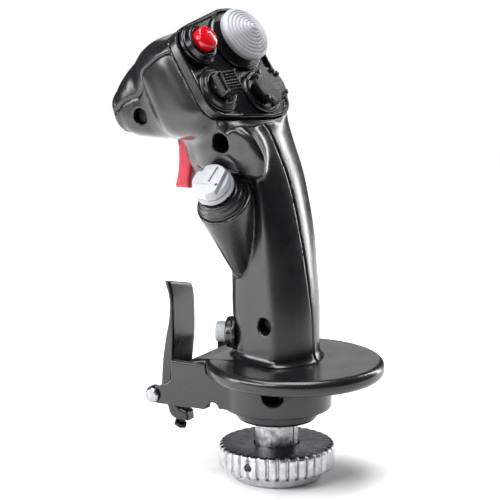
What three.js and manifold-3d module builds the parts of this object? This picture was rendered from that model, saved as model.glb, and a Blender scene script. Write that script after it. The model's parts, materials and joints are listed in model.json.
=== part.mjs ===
// A jet-fighter style joystick grip: a hollow cast grip on a round hand rest, with a finger paddle
// in front and a knurled coupling nut below.
// Millimetres. The origin is on the nut's axis, in the plane of its lower face. +Z is up, +Y is
// forward (the trigger and paddle side), -X is the pilot's left.
import * as THREE from 'three';
import { mergeVertices } from 'three/addons/utils/BufferGeometryUtils.js';
import Module from 'manifold-3d';

const wasm = await Module();
wasm.setup();

// ---- driving dimensions ----

const GAP = 0.3; // between pieces that touch

const NUT_RADIUS = 25;
const NUT_TOP = 14.9;
const NUT_RIDGES = 36;
const NUT_LIP_RADIUS = 19;
const NUT_LIP_TOP = 4.6;
const NUT_SOCKET_RADIUS = 17.6;
const NUT_PLATE = 3.1; // thickness over the socket

const SPIGOT_RADIUS = 9.2;
const SPIGOT_BORE = 5.5;
const SPIGOT_TOP = 41;
const FLANGE_RADIUS = 15.8;
const FLANGE_BOTTOM = 8;
const FLANGE_TOP = 10.2;
const SLEEVE = SPIGOT_RADIUS + 0.35; // hole of the fixed pieces that the spigot passes through

const COLLAR_BOTTOM = 26;
const DRUM_BOTTOM = 31.2;
const DRUM_TOP = 46;
const DRUM_RADIUS = 23.7;
const FLOOR = 3; // thickness of the drum's floor and wall

const ARM_OUTER = 21; // half width over the paddle's arms
const ARM_INNER = 17.7;
const ARM_TOP = 50.4;
const ARM_LOW = 31;
const PIVOT_Y = 49.5; // the paddle's pin
const PIVOT_Z = 34;

const REST_BOTTOM = 46.3;
const REST_TOP = 53.2;
const REST_RADIUS = 38;
const REST_CENTRE_Y = -9;
const REST_FRONT = 35; // front edge of the tongue between the arms
const REST_RAMP_START = 22; // from here on the tongue's top slopes down to the arms
const REST_RAMP = THREE.MathUtils.degToRad(12.7);

const WALL = 2.6; // the grip's casting
const SEAM_TURN = THREE.MathUtils.degToRad(8); // the seam plane stands this far off the middle
const SEAM_Y = -17; // where the seam plane crosses the middle
const PANEL_FOOT = 27.6; // how far down the panel's plane the casting is kept below it
const SEAM_BEND = 150.5; // above this height the seam leans to the pilot's left
const SEAM_LEAN = 0.68; // how far it goes left for each millimetre up

const PANEL_CENTRE = new THREE.Vector3(-6.2, 20.2, 177);
const PANEL_CANT = THREE.MathUtils.degToRad(8.5); // towards the pilot's left
const PANEL_RISE = THREE.MathUtils.degToRad(35); // how far the panel looks up
const PANEL_THICK = 3;

const POD_MOUTH = new THREE.Vector3(-25, 11.6, 124.1);
const POD_AXIS = new THREE.Vector3(-0.7, 0.05, 0.7);
const POD_RADIUS = 12.4;

const TRIGGER_PIN = new THREE.Vector3(0, 38.6, 153);
const TRIGGER_HALF = 5.5; // half the trigger's width

const BUTTON_SEAT = new THREE.Vector3(-6, 15.5, 63); // the small button low on the front
const BUTTON_AXIS = new THREE.Vector3(-0.342, 0.94, 0);

// ---- materials ----

function material(color, roughness, metalness) {
  return new THREE.MeshStandardMaterial({ color, roughness, metalness });
}

const PAINT = material(0x1a1b1d, 0.42, 0.3);
const BLACK_PLASTIC = material(0x111214, 0.4, 0);
const WHITE_PLASTIC = material(0xd6d8dc, 0.45, 0);
const RED_BUTTON = material(0xd3121c, 0.25, 0);
const RED_TRIGGER = material(0xe0344a, 0.5, 0);
const ALUMINIUM = material(0xc9cbce, 0.35, 0.9);
const STEEL = material(0xa9abad, 0.3, 0.95);
const BRASS = material(0xb99a55, 0.35, 0.9);
const BOARD_GREEN = material(0x1f5a34, 0.6, 0);
const RUBBER = material(0x1c1c1e, 0.8, 0);

// ---- solids and pieces ----

const model = new THREE.Group();

// A closed geometry as a solid that can be cut and joined.
function solid(geometry) {
  const bare = new THREE.BufferGeometry();
  bare.setAttribute('position', geometry.getAttribute('position'));
  if (geometry.index) bare.setIndex(geometry.index);
  const welded = mergeVertices(bare, 1e-4);
  return new wasm.Manifold(
    new wasm.Mesh({
      numProp: 3,
      vertProperties: welded.getAttribute('position').array,
      triVerts: Uint32Array.from(welded.index.array),
    }),
  );
}

function geometryOf(body) {
  const mesh = body.getMesh();
  const geometry = new THREE.BufferGeometry();
  geometry.setAttribute('position', new THREE.BufferAttribute(Float32Array.from(mesh.vertProperties), 3));
  geometry.setIndex([...mesh.triVerts]);
  return geometry;
}

function addPiece(name, shape, finish, parent = model) {
  const geometry = shape.isBufferGeometry ? shape : geometryOf(shape);
  const mesh = new THREE.Mesh(geometry, finish);
  mesh.name = name;
  parent.add(mesh);
}

// A solid of revolution about Z from [radius, height] pairs, closed on the axis or on itself.
function turned(profile, sides = 24) {
  const points = profile.map(([radius, height]) => new THREE.Vector2(radius, height));
  const onAxis = profile[0][0] === 0 && profile.at(-1)[0] === 0;
  if (!onAxis) points.push(points[0].clone());
  return new THREE.LatheGeometry(points, sides).rotateX(Math.PI / 2);
}

function rod(radius, low, high, sides = 16) {
  return turned([[0, low], [radius, low], [radius, high], [0, high]], sides);
}

function ring(inner, outer, low, high, sides = 24) {
  return turned([[inner, low], [outer, low], [outer, high], [inner, high]], sides);
}

// An outline in the XY plane, pulled up from low to high.
function extruded(shape, low, high, curveSegments = 12) {
  const body = new THREE.ExtrudeGeometry(shape, { depth: high - low, bevelEnabled: false, curveSegments });
  return body.translate(0, 0, low);
}

function box(width, depth, height, x, y, z) {
  return new THREE.BoxGeometry(width, depth, height).translate(x, y, z);
}

// An outline in the YZ plane, pulled along X about the middle.
function sideProfile(shape, halfWidth, centreX = 0) {
  const body = extruded(shape, -halfWidth, halfWidth, 6);
  const axes = new THREE.Matrix4().makeBasis(
    new THREE.Vector3(0, 1, 0), new THREE.Vector3(0, 0, 1), new THREE.Vector3(1, 0, 0));
  return body.applyMatrix4(axes).translate(centreX, 0, 0);
}

// A body through rings of points, closed by a fan at each end. The rings run the same way round.
function loft(rings) {
  const count = rings[0].length;
  const points = rings.flat();
  const faces = [];
  for (let row = 0; row < rings.length - 1; row++) {
    for (let i = 0; i < count; i++) {
      const a = row * count + i;
      const b = row * count + (i + 1) % count;
      faces.push(a, b, b + count, a, b + count, a + count);
    }
  }
  closeEnd(points, faces, rings[0], 0, true);
  closeEnd(points, faces, rings.at(-1), (rings.length - 1) * count, false);
  const geometry = new THREE.BufferGeometry().setFromPoints(points);
  geometry.setIndex(faces);
  return geometry;
}

function closeEnd(points, faces, ringPoints, start, reversed) {
  const centre = new THREE.Vector3();
  ringPoints.forEach((point) => centre.addScaledVector(point, 1 / ringPoints.length));
  const hub = points.push(centre) - 1;
  for (let i = 0; i < ringPoints.length; i++) {
    const a = start + i;
    const b = start + (i + 1) % ringPoints.length;
    if (reversed) faces.push(hub, b, a);
    else faces.push(hub, a, b);
  }
}

function alongX(radius, from, to, y, z, sides = 12) {
  return rod(radius, from, to, sides).rotateY(Math.PI / 2).translate(0, y, z);
}

// The placing of a local frame whose Z is the given axis and whose X is as level as it can be.
function frameAt(origin, axis) {
  const z = axis.clone().normalize();
  const x = new THREE.Vector3(0, 0, 1).cross(z).normalize();
  if (x.x < 0) x.negate();
  const y = z.clone().cross(x);
  return new THREE.Matrix4().makeBasis(x, y, z).setPosition(origin);
}

function groupAt(matrix) {
  const group = new THREE.Group();
  matrix.decompose(group.position, group.quaternion, group.scale);
  model.add(group);
  return group;
}

// ---- coupling: nut, spigot and connector ----

function knurlOutline() {
  const shape = new THREE.Shape();
  const pitch = (2 * Math.PI) / NUT_RIDGES;
  const root = NUT_RADIUS - 0.8;
  for (let i = 0; i < NUT_RIDGES; i++) {
    const corners = [[root, 0], [NUT_RADIUS, 0.14], [NUT_RADIUS, 0.86]];
    for (const [radius, part] of corners) {
      const angle = (i + part) * pitch;
      const x = radius * Math.cos(angle);
      const y = radius * Math.sin(angle);
      if (i === 0 && part === 0) shape.moveTo(x, y);
      else shape.lineTo(x, y);
    }
  }
  shape.closePath();
  return shape;
}

function addNut() {
  const tommyHole = rod(1.8, NUT_RADIUS - 5, NUT_RADIUS + 2, 12).rotateY(-Math.PI / 2).translate(0, 0, 9.8);
  const nut = solid(extruded(knurlOutline(), NUT_LIP_TOP, NUT_TOP))
    .add(solid(rod(NUT_LIP_RADIUS, 0, NUT_LIP_TOP + 1, 32)))
    .subtract(solid(rod(NUT_SOCKET_RADIUS, -1, NUT_TOP - NUT_PLATE, 32)))
    .subtract(solid(rod(SPIGOT_RADIUS + 0.65, 0, NUT_TOP + 1, 24)))
    .subtract(solid(tommyHole));
  addPiece('coupling_nut', nut, ALUMINIUM);
  const washer = ring(SPIGOT_RADIUS + 0.6, FLANGE_RADIUS, FLANGE_TOP + GAP, FLANGE_TOP + 1.3);
  addPiece('thrust_washer', washer, BRASS);
}

const KEY_LOW = 16;
const KEY_HIGH = 24;
const KEY_HALF = 1.5;
const LOCKNUT_RADIUS = 14; // over its corners

function addSpigot() {
  const tube = solid(turned([
    [SPIGOT_BORE, FLANGE_BOTTOM], [FLANGE_RADIUS, FLANGE_BOTTOM], [FLANGE_RADIUS, FLANGE_TOP],
    [SPIGOT_RADIUS, FLANGE_TOP], [SPIGOT_RADIUS, SPIGOT_TOP], [SPIGOT_BORE, SPIGOT_TOP],
  ], 28));
  const keyMiddle = (KEY_LOW + KEY_HIGH) / 2;
  const keyLength = KEY_HIGH - KEY_LOW;
  const keySlot = box(2 * KEY_HALF + 2 * GAP, 2, keyLength + 2 * GAP, 0, -SPIGOT_RADIUS, keyMiddle);
  addPiece('coupling_spigot', tube.subtract(solid(keySlot)), ALUMINIUM);
  addPiece('spigot_key', box(2 * KEY_HALF, 1, keyLength, 0, -SPIGOT_RADIUS + 0.2, keyMiddle), STEEL);
  const lockNut = new THREE.Shape();
  lockNut.moveTo(LOCKNUT_RADIUS, 0);
  for (let i = 1; i < 6; i++) {
    const angle = (i * Math.PI) / 3;
    lockNut.lineTo(LOCKNUT_RADIUS * Math.cos(angle), LOCKNUT_RADIUS * Math.sin(angle));
  }
  lockNut.closePath();
  lockNut.holes.push(new THREE.Path().absarc(0, 0, SLEEVE, 0, 2 * Math.PI));
  const low = DRUM_BOTTOM + FLOOR + GAP;
  addPiece('spigot_locknut', extruded(lockNut, low, low + 4.5), STEEL);
}

const PIN_CIRCLE = 7.5;
const PIN_COUNT = 5;

function addConnector() {
  const top = FLANGE_BOTTOM - GAP;
  let insert = solid(turned([
    [0, 0], [3.2, 0], [3.2, 3], [11.5, 3], [11.5, 0], [12.9, 0], [12.9, top], [0, top],
  ], 24));
  insert = insert.subtract(solid(rod(2.6, top - 2, top + 1, 16)));
  insert = insert.subtract(solid(box(2.4, 3, 4, 0, 12.5, 1)));
  for (let i = 0; i < PIN_COUNT; i++) {
    const angle = Math.PI / 2 + ((i + 0.5) * 2 * Math.PI) / PIN_COUNT;
    const x = PIN_CIRCLE * Math.cos(angle);
    const y = PIN_CIRCLE * Math.sin(angle);
    insert = insert.subtract(solid(rod(1.1, 2, top - 1, 8).translate(x, y, 0)));
    addPiece(`connector_pin_${i + 1}`, rod(0.8, 0.8, top - 1.4, 8).translate(x, y, 0), BRASS);
  }
  addPiece('connector_insert', insert, BLACK_PLASTIC);
}

// ---- base: collar, housing and hand rest ----

const BASE_SCREWS = [[13, 12], [-13, 12], [13, -12], [-13, -12]];
const SCREW_HOLE = 1.9;

// The wall across the arms that the paddle's stop screw rests under and its switch sits behind.
const CROSS_WALL_Y = 38;
const CROSS_WALL_DEPTH = 3;
const CROSS_WALL_BOTTOM = 31.4;
const PLUNGER_Z = 42;
const PLUNGER_RADIUS = 1.2;

function armProfile() {
  const ear = 4;
  const outline = new THREE.Shape();
  outline.moveTo(6, ARM_LOW + 1.4);
  outline.lineTo(16.4, ARM_LOW + 1.4);
  outline.absarc(19.6, ARM_LOW + 0.8, 2.9, Math.PI, 0, true);
  outline.lineTo(24, ARM_LOW);
  outline.lineTo(46.5, PIVOT_Z - ear + 0.3);
  outline.absarc(PIVOT_Y, PIVOT_Z, ear, -Math.PI / 2, Math.PI / 2 + 0.3, false);
  outline.lineTo(42.5, 40.2);
  outline.lineTo(40.4, 42);
  outline.lineTo(40.4, ARM_TOP);
  outline.lineTo(24.6, ARM_TOP);
  outline.lineTo(24.6, DRUM_TOP);
  outline.lineTo(6, DRUM_TOP);
  outline.closePath();
  return outline;
}

function addHousing() {
  const armMiddle = (ARM_OUTER + ARM_INNER) / 2;
  const armHalf = (ARM_OUTER - ARM_INNER) / 2;
  const inner = DRUM_RADIUS - FLOOR;
  let housing = solid(turned([
    [0, DRUM_BOTTOM], [DRUM_RADIUS - 4, DRUM_BOTTOM], [DRUM_RADIUS - 1.3, DRUM_BOTTOM + 1.2],
    [DRUM_RADIUS, DRUM_BOTTOM + 4], [DRUM_RADIUS, DRUM_TOP], [0, DRUM_TOP],
  ], 36));
  for (const side of [-1, 1]) {
    housing = housing.add(solid(sideProfile(armProfile(), armHalf, side * armMiddle)));
  }
  const bridgeHeight = DRUM_TOP - ARM_LOW - 3;
  const acrossArms = 2 * ARM_INNER + 1;
  housing = housing.add(solid(box(acrossArms, 12, bridgeHeight, 0, 22, DRUM_TOP - bridgeHeight / 2)));
  housing = housing.subtract(solid(rod(inner, DRUM_BOTTOM + FLOOR, DRUM_TOP + 1, 36)));
  const between = box(2 * ARM_INNER - 4, 9, DRUM_TOP - DRUM_BOTTOM - 6, 0, 20, DRUM_TOP - 4.6);
  housing = housing.subtract(solid(between));
  housing = housing.subtract(solid(rod(SLEEVE, DRUM_BOTTOM - 1, DRUM_BOTTOM + FLOOR + 1, 24)));
  const wallHeight = DRUM_TOP - CROSS_WALL_BOTTOM;
  const wallMiddle = CROSS_WALL_BOTTOM + wallHeight / 2;
  housing = housing.add(solid(box(acrossArms, CROSS_WALL_DEPTH, wallHeight, 0, CROSS_WALL_Y, wallMiddle)));
  const plungerHole = rod(PLUNGER_RADIUS + 0.4, -4, 4, 10).rotateX(Math.PI / 2);
  housing = housing.subtract(solid(plungerHole.translate(0, CROSS_WALL_Y, PLUNGER_Z)));
  for (const [x, y] of BASE_SCREWS) {
    housing = housing.add(solid(rod(3.6, DRUM_BOTTOM + 1, DRUM_TOP - 0.2, 12).translate(x, y, 0)));
  }
  for (const [x, y] of BASE_SCREWS) {
    housing = housing.subtract(solid(rod(SCREW_HOLE, DRUM_BOTTOM - 1, DRUM_TOP + 1, 10).translate(x, y, 0)));
    housing = housing.subtract(solid(rod(3.1, DRUM_BOTTOM - 1, DRUM_BOTTOM + 3, 12).translate(x, y, 0)));
  }
  const sideHole = rod(4.8, DRUM_RADIUS - 6, DRUM_RADIUS + 3, 20).rotateY(Math.PI / 2);
  sideHole.rotateZ(THREE.MathUtils.degToRad(205)).translate(0, 0, 42.2);
  housing = housing.subtract(solid(sideHole));
  const pinHole = rod(1.9, -ARM_OUTER - 1, ARM_OUTER + 1, 12).rotateY(Math.PI / 2);
  housing = housing.subtract(solid(pinHole.translate(0, PIVOT_Y, PIVOT_Z)));
  addPiece('base_housing', housing, PAINT);
  BASE_SCREWS.forEach(([x, y], i) => {
    const low = DRUM_BOTTOM + GAP;
    const screw = turned([[0, low], [2.8, low], [2.8, low + 2.3], [1.5, low + 2.3], [1.5, 50], [0, 50]], 10);
    addPiece(`base_screw_${i + 1}`, screw.translate(x, y, 0), STEEL);
  });
}

function addCollar() {
  const top = DRUM_BOTTOM - GAP;
  addPiece('base_collar', turned([
    [SLEEVE, COLLAR_BOTTOM], [15.6, COLLAR_BOTTOM], [17.4, COLLAR_BOTTOM + 1], [18.5, top], [SLEEVE, top],
  ], 32), PAINT);
}

function restOutline() {
  const half = ARM_INNER - 3.3;
  const round = REST_RADIUS - 3;
  const meet = REST_CENTRE_Y + Math.sqrt(round * round - half * half);
  const angle = Math.atan2(meet - REST_CENTRE_Y, half);
  const outline = new THREE.Shape();
  outline.moveTo(half, REST_FRONT - 3);
  outline.lineTo(-half, REST_FRONT - 3);
  outline.absarc(0, REST_CENTRE_Y, round, Math.PI - angle, angle, false);
  outline.closePath();
  return outline;
}

function addRest() {
  const edge = 2.8;
  const depth = REST_TOP - REST_BOTTOM - 2 * edge;
  const plate = new THREE.ExtrudeGeometry(restOutline(), {
    depth, bevelThickness: edge, bevelSize: 3, bevelSegments: 2, curveSegments: 26,
  });
  plate.translate(0, 0, REST_BOTTOM + edge);
  const aboveRamp = box(60, 60, 10, 0, 0, 5).rotateX(-REST_RAMP).translate(0, REST_RAMP_START, REST_TOP);
  let rest = solid(plate)
    .subtract(solid(rod(7, REST_BOTTOM - 1, REST_TOP + 1, 20)))
    .subtract(solid(aboveRamp));
  for (const [x, y] of BASE_SCREWS) {
    rest = rest.subtract(solid(rod(SCREW_HOLE, REST_BOTTOM - 1, 50.4, 10).translate(x, y, 0)));
  }
  addPiece('hand_rest', rest, PAINT);
}

// ---- the finger paddle ----

function paddleProfile() {
  const shape = new THREE.Shape();
  shape.moveTo(PIVOT_Y + 4, PIVOT_Z);
  shape.lineTo(53.2, 40);
  shape.splineThru([
    new THREE.Vector2(52.6, 47), new THREE.Vector2(51.2, 56), new THREE.Vector2(49.4, 65),
    new THREE.Vector2(49.2, 74), new THREE.Vector2(51.6, 82),
  ]);
  shape.lineTo(48.8, 82);
  shape.splineThru([
    new THREE.Vector2(47.3, 74), new THREE.Vector2(47.1, 65), new THREE.Vector2(47, 56),
    new THREE.Vector2(47.3, 47), new THREE.Vector2(47.4, 38.4),
  ]);
  shape.lineTo(PIVOT_Y - 3.8, PIVOT_Z + 1);
  shape.lineTo(PIVOT_Y - 5.4, PIVOT_Z - 3.6);
  shape.lineTo(46.4, 26);
  shape.lineTo(40.4, 24.6);
  shape.lineTo(40, 20);
  shape.lineTo(46, 20.4);
  shape.lineTo(50, 25);
  shape.lineTo(PIVOT_Y + 3, PIVOT_Z - 3.4);
  shape.closePath();
  return shape;
}

const PADDLE_HALF = 8.5;
const PADDLE_BULGE = 2.2; // how far the finger plate's right edge bows out
const PADDLE_TIP_SLOPE = THREE.MathUtils.degToRad(14); // the tip falls to the pilot's right
const STOP = new THREE.Vector3(-5.4, 43.2, 22.4); // where the stop screw passes the lever's foot
const STOP_LEAN = THREE.MathUtils.degToRad(24); // its upper end leans back under the cross wall

function addPaddle() {
  const front = new THREE.Shape();
  front.moveTo(-PADDLE_HALF, 15);
  front.lineTo(PADDLE_HALF, 15);
  front.lineTo(PADDLE_HALF, 41);
  front.quadraticCurveTo(PADDLE_HALF + 2 * PADDLE_BULGE, 63, PADDLE_HALF, 85);
  front.lineTo(-PADDLE_HALF, 85);
  front.closePath();
  const seenFromFront = solid(extruded(front, -60, -30).rotateX(Math.PI / 2));
  let lever = solid(sideProfile(paddleProfile(), PADDLE_HALF + PADDLE_BULGE)).intersect(seenFromFront);
  lever = lever.subtract(solid(box(12.4, 14, 14, 3.8, 41, 20)));
  const tip = box(60, 20, 10, 0, 0, 5).rotateY(PADDLE_TIP_SLOPE).translate(-PADDLE_HALF, 50, 82);
  lever = lever.subtract(solid(tip));
  lever = lever.subtract(solid(alongX(1.9, -PADDLE_HALF - 1, PADDLE_HALF + 1, PIVOT_Y, PIVOT_Z)));
  lever = lever.subtract(solid(placeStop(rod(1.9, -8, 8, 10))));
  addPiece('paddle_lever', lever, PAINT);

  const end = ARM_OUTER + GAP;
  const pin = turned([
    [0, -end - 1.8], [2.9, -end - 1.8], [3.3, -end - 1], [3.3, -end], [1.6, -end],
    [1.6, end + 0.8], [0, end + 0.8],
  ], 16);
  addPiece('paddle_pin', pin.rotateY(Math.PI / 2).translate(0, PIVOT_Y, PIVOT_Z), STEEL);
  addPiece('paddle_spring', coil(3.1, 0.5, 3, 5).translate(PADDLE_HALF + 1.8, PIVOT_Y, PIVOT_Z), STEEL);
  addPiece('paddle_stop_screw', placeStop(rod(1.5, -6.6, 8.6, 10)), STEEL);
  const nut = new THREE.CylinderGeometry(3, 3, 1.6, 6).rotateX(Math.PI / 2).translate(0, 0, -5.2);
  const nutHole = placeStop(rod(1.8, -7, -3, 10));
  addPiece('paddle_stop_nut', solid(placeStop(nut)).subtract(solid(nutHole)), STEEL);
}

function placeStop(geometry) {
  return geometry.rotateX(STOP_LEAN).translate(STOP.x, STOP.y, STOP.z);
}

// The switch behind the cross wall and its plunger, which reaches the back of the paddle.
function addPaddleSwitch() {
  const front = CROSS_WALL_Y - CROSS_WALL_DEPTH / 2 - GAP;
  const body = solid(box(9, 7, 6.4, 0, front - 3.5, PLUNGER_Z));
  const bore = rod(PLUNGER_RADIUS + 0.4, -5, 1, 10).rotateX(-Math.PI / 2).translate(0, front, PLUNGER_Z);
  addPiece('paddle_switch', body.subtract(solid(bore)), BLACK_PLASTIC);
  const plunger = rod(PLUNGER_RADIUS, -2.6, 47 - front, 10).rotateX(-Math.PI / 2);
  addPiece('paddle_switch_plunger', plunger.translate(0, front, PLUNGER_Z), STEEL);
}

// ---- the grip's casting ----

// Level slices of the column. back is where it starts, rounds the back's radius on the left and
// the right of the seam, half its half width, corner the place of the front corners, front its end.
const COLUMN = [
  { z: 53.5, back: -17.9, rounds: [20.2, 21.6], half: 17.5, corner: [12, 13.5], front: 19.3 },
  { z: 75, back: -16.7, rounds: [20.5, 29], half: 17.6, corner: [12, 14.4], front: 19.8 },
  { z: 92, back: -14.4, rounds: [22.5, 35], half: 17.9, corner: [12.3, 15], front: 20.4 },
  { z: 106, back: -12, rounds: [27, 44], half: 18.1, corner: [13, 18], front: 24 },
  { z: 119, back: -9.3, rounds: [33, 46], half: 18.3, corner: [13.5, 26], front: 33 },
  { z: 131, back: -6.2, rounds: [40, 47], half: 18.5, corner: [13.5, 31], front: 39 },
  { z: 143, back: -1.4, rounds: [43, 50], half: 19, corner: [13, 33], front: 41.5 },
  { z: 155, back: 4.2, rounds: [45, 66], half: 19.5, corner: [12, 33], front: 42 },
];
const BACK_STEPS = 3; // on each side of the seam
const FRONT_STEPS = 5;

// The ring of points round one slice, shrunk inwards by inset.
function columnRing(slice, inset) {
  const half = slice.half - inset;
  const back = slice.back + inset;
  const points = [];
  for (let i = -BACK_STEPS; i <= BACK_STEPS; i++) {
    const round = slice.rounds[i < 0 ? 0 : 1] - inset;
    const angle = (Math.asin(half / round) * i) / BACK_STEPS;
    points.push(new THREE.Vector3(round * Math.sin(angle), back + round * (1 - Math.cos(angle)), slice.z));
  }
  const [cornerX, cornerY] = slice.corner;
  const cornerHalf = cornerX - inset;
  const bulge = slice.front - cornerY - inset;
  for (let i = 0; i <= FRONT_STEPS; i++) {
    const angle = (Math.PI * i) / FRONT_STEPS;
    const y = cornerY + bulge * Math.sin(angle) ** 0.8;
    points.push(new THREE.Vector3(cornerHalf * Math.cos(angle), y, slice.z));
  }
  return points;
}

// The hollow runs out at the foot and up into the head.
function column(inset) {
  const rings = COLUMN.map((slice) => columnRing(slice, inset));
  if (inset > 0) {
    rings[0].forEach((point) => point.setZ(point.z - 2));
    rings.at(-1).forEach((point) => point.setZ(point.z + 4));
  }
  return loft(rings);
}

function axesOf(rise, cant) {
  const out = new THREE.Vector3(
    -Math.sin(cant) * Math.cos(rise), -Math.cos(cant) * Math.cos(rise), Math.sin(rise));
  const across = new THREE.Vector3(Math.cos(cant), -Math.sin(cant), 0);
  return { across, along: out.clone().cross(across), out };
}

// Slices of the head from the panel to the nose: each is a rounded four-sided ring round its
// centre at. rise is how far it looks up, cant how far to the pilot's left, in degrees; reach is how
// far it goes to the left, right, up and down; square is how round its corners are; fall and lift
// say how much shorter it is upwards and downwards on the left.
function slice(at, riseDegrees, cantDegrees, reach, square, fall = 0, lift = 0) {
  const rise = THREE.MathUtils.degToRad(riseDegrees);
  const cant = THREE.MathUtils.degToRad(cantDegrees);
  return { at, rise, cant, reach, square, fall, lift };
}

const HEAD = [
  slice([-5.83, 22.7, 175.23], 35, 8.5, [26, 26, 26, 26.4], 0.32, 0.29, 0.18),
  slice([-5.5, 25.5, 173.2], 34, 8, [26.4, 26, 25.4, 27], 0.34, 0.26, 0.15),
  slice([-4.6, 38, 167], 29, 5, [24.2, 23, 25, 22.8], 0.46, 0.12),
  slice([-4.1, 44.1, 164.5], 27.5, 3.5, [22.4, 21.3, 22.8, 20.7], 0.5, 0.06),
  slice([-3.6, 50, 162.2], 26, 2, [18, 19, 20.6, 19], 0.55),
  slice([-3.2, 55, 160.4], 24, 1, [16, 18, 18.3, 17.4], 0.58),
  slice([-2.8, 60.5, 158.6], 22, 0, [15.7, 17, 15.8, 15.6], 0.62),
  slice([-2.4, 68.5, 156], 18, 0, [13.8, 14.5, 10.6, 12], 0.7),
  slice([-2.4, 73.5, 154.6], 16, 0, [9.8, 10.5, 5.4, 7.8], 0.8),
  slice([-2.4, 75.4, 154.2], 16, 0, [5, 5, 2.6, 2.8], 1),
];
const HEAD_SIDES = 24;

// A point of a slice's ring in its own plane: across to the right, and up.
function headPoint({ reach, square, fall, lift }, inset, i) {
  const angle = (2 * Math.PI * i) / HEAD_SIDES;
  const sideways = Math.cos(angle);
  const upwards = Math.sin(angle);
  const [left, right, up, down] = reach.map((value) => value - inset);
  const across = Math.sign(sideways) * Math.abs(sideways) ** square * (sideways < 0 ? left : right);
  const rise = Math.sign(upwards) * Math.abs(upwards) ** square * (upwards < 0 ? down : up);
  const toLeft = THREE.MathUtils.clamp((0.4 - across / right) / 1.4, 0, 1);
  return [across, rise * (1 - toLeft * (upwards < 0 ? lift : fall))];
}

function headRing(slice, inset) {
  const { across, along } = axesOf(slice.rise, slice.cant);
  const points = [];
  for (let i = 0; i < HEAD_SIDES; i++) {
    const [x, y] = headPoint(slice, inset, i);
    points.push(new THREE.Vector3(...slice.at).addScaledVector(across, x).addScaledVector(along, y));
  }
  return points;
}

// The inner head leaves out the last two slices, so that the nose has a thick end.
function head(inset) {
  const slices = inset > 0 ? HEAD.slice(0, -2) : HEAD;
  return loft(slices.map((slice) => headRing(slice, inset)).reverse());
}

// The thumb shelf that bulges to the pilot's left under the panel. Its back edge leans with the
// column: back is the edge's place at each height, out how far it stands out there.
const SHELF = [
  { z: 134.3, back: -9, out: 26 },
  { z: 138, back: -9.8, out: 26.8 },
  { z: 143, back: -10.3, out: 27.8 },
  { z: 149, back: -8, out: 28.6 },
  { z: 154, back: -3.7, out: 29.2 },
  { z: 157.4, back: 3.2, out: 29.4 },
  { z: 167, back: 12, out: 30 },
];
const SHELF_SWEEP = 0.6; // how far its back face goes forward for each millimetre inwards

function shelfRing({ z, back, out }, inset) {
  const edge = out - inset;
  const corners = [
    [0, back + SHELF_SWEEP * edge], [-edge + 5, back + 3.2], [-edge + 2.2, back + 1.9],
    [-edge + 0.6, back + 3.6], [-edge, back + 8],
    [-edge + 1, 23], [-edge + 5, 28], [-14, 32.6], [0, 34.4],
  ];
  return corners.reverse().map(([x, y]) => {
    const middle = (back + 34) / 2;
    return new THREE.Vector3(x, y + Math.sign(middle - y) * inset, z);
  });
}

function shelf(inset) {
  const slices = SHELF.map((slice, i) => (i === 0 ? { ...slice, z: slice.z + inset } : slice));
  return loft(slices.map((slice) => shelfRing(slice, inset)));
}

// The fairing under the side hat, from the hat's mouth down to a blunt tip against the column.
const POD = [
  { at: [-8.6, 10.2, 89.3], axis: [-0.4, 0.03, 0.92], radius: 3 },
  { at: [-10.4, 10.35, 93.5], axis: [-0.43, 0.04, 0.9], radius: 5.6 },
  { at: [-14.2, 10.7, 101.6], axis: [-0.45, 0.04, 0.88], radius: 7.4 },
  { at: [-20.1, 11.2, 113.9], axis: [-0.55, 0.04, 0.82], radius: 10.1 },
  { at: POD_MOUTH.toArray(), axis: POD_AXIS.toArray(), radius: POD_RADIUS },
];

const POD_SIDES = 20;

function podRing({ at, axis, radius }) {
  const along = new THREE.Vector3(...axis).normalize();
  const x = new THREE.Vector3(0, 1, 0).cross(along).normalize();
  const y = along.clone().cross(x);
  const points = [];
  for (let i = 0; i < POD_SIDES; i++) {
    const angle = (2 * Math.PI * i) / POD_SIDES;
    const point = new THREE.Vector3(...at).addScaledVector(x, radius * Math.cos(angle));
    points.push(point.addScaledVector(y, radius * Math.sin(angle)));
  }
  return points;
}

// A screw that crosses the seam along X: its hole in the left shell, its seat and its end.
const SHELL_SCREWS = [
  { name: 'nose_screw', y: 56.3, z: 154.4, hole: 3.4, seat: -12.4, end: 6, boss: 4.8, from: -21, to: 13.5 },
  { name: 'middle_screw', y: 11.4, z: 148.3, hole: 4.2, seat: -12, end: 8, boss: 5.6, from: -25, to: 17.5 },
  { name: 'lower_screw', y: -3, z: 69.9, hole: 3.6, seat: -8.4, end: 8.5, boss: 4.8, from: -15.4, to: 16.4 },
];
const SHANK_HOLE = 1.9;

const PANEL_FRAME = (() => {
  const { across, along, out } = axesOf(PANEL_RISE, PANEL_CANT);
  return new THREE.Matrix4().makeBasis(across, along, out).setPosition(PANEL_CENTRE);
})();
const HAT_FRAME = frameAt(POD_MOUTH, POD_AXIS);
const BUTTON_FRAME = frameAt(BUTTON_SEAT, BUTTON_AXIS);

// Places on the panel, from its centre: to the pilot's right, and up.
const RED_AT = [-15.2, 10.2];
const TRIM_AT = [11.6, 10.2];
const RIBBED_AT = [-15, -10.5];
const CASTLE_AT = [11, -14.6];
const SWITCH_POCKETS = [ // place, radius and depth
  [TRIM_AT, 8.2, 17.6], [RIBBED_AT, 7.2, 15], [CASTLE_AT, 7.2, 15], [RED_AT, 6.2, 16],
];

function placed(geometry, matrix) {
  return geometry.applyMatrix4(matrix);
}

// The scallop in the shelf that leaves room for the side hat to tilt.
function hatClearance(more) {
  return solid(placed(rod(12 + more, 5, 40, 20), HAT_FRAME));
}

// The casting itself, without crumbs that the cuts leave behind.
function biggestBody(cutSolid) {
  return cutSolid.decompose().reduce((a, b) => (a.volume() > b.volume() ? a : b));
}

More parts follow.
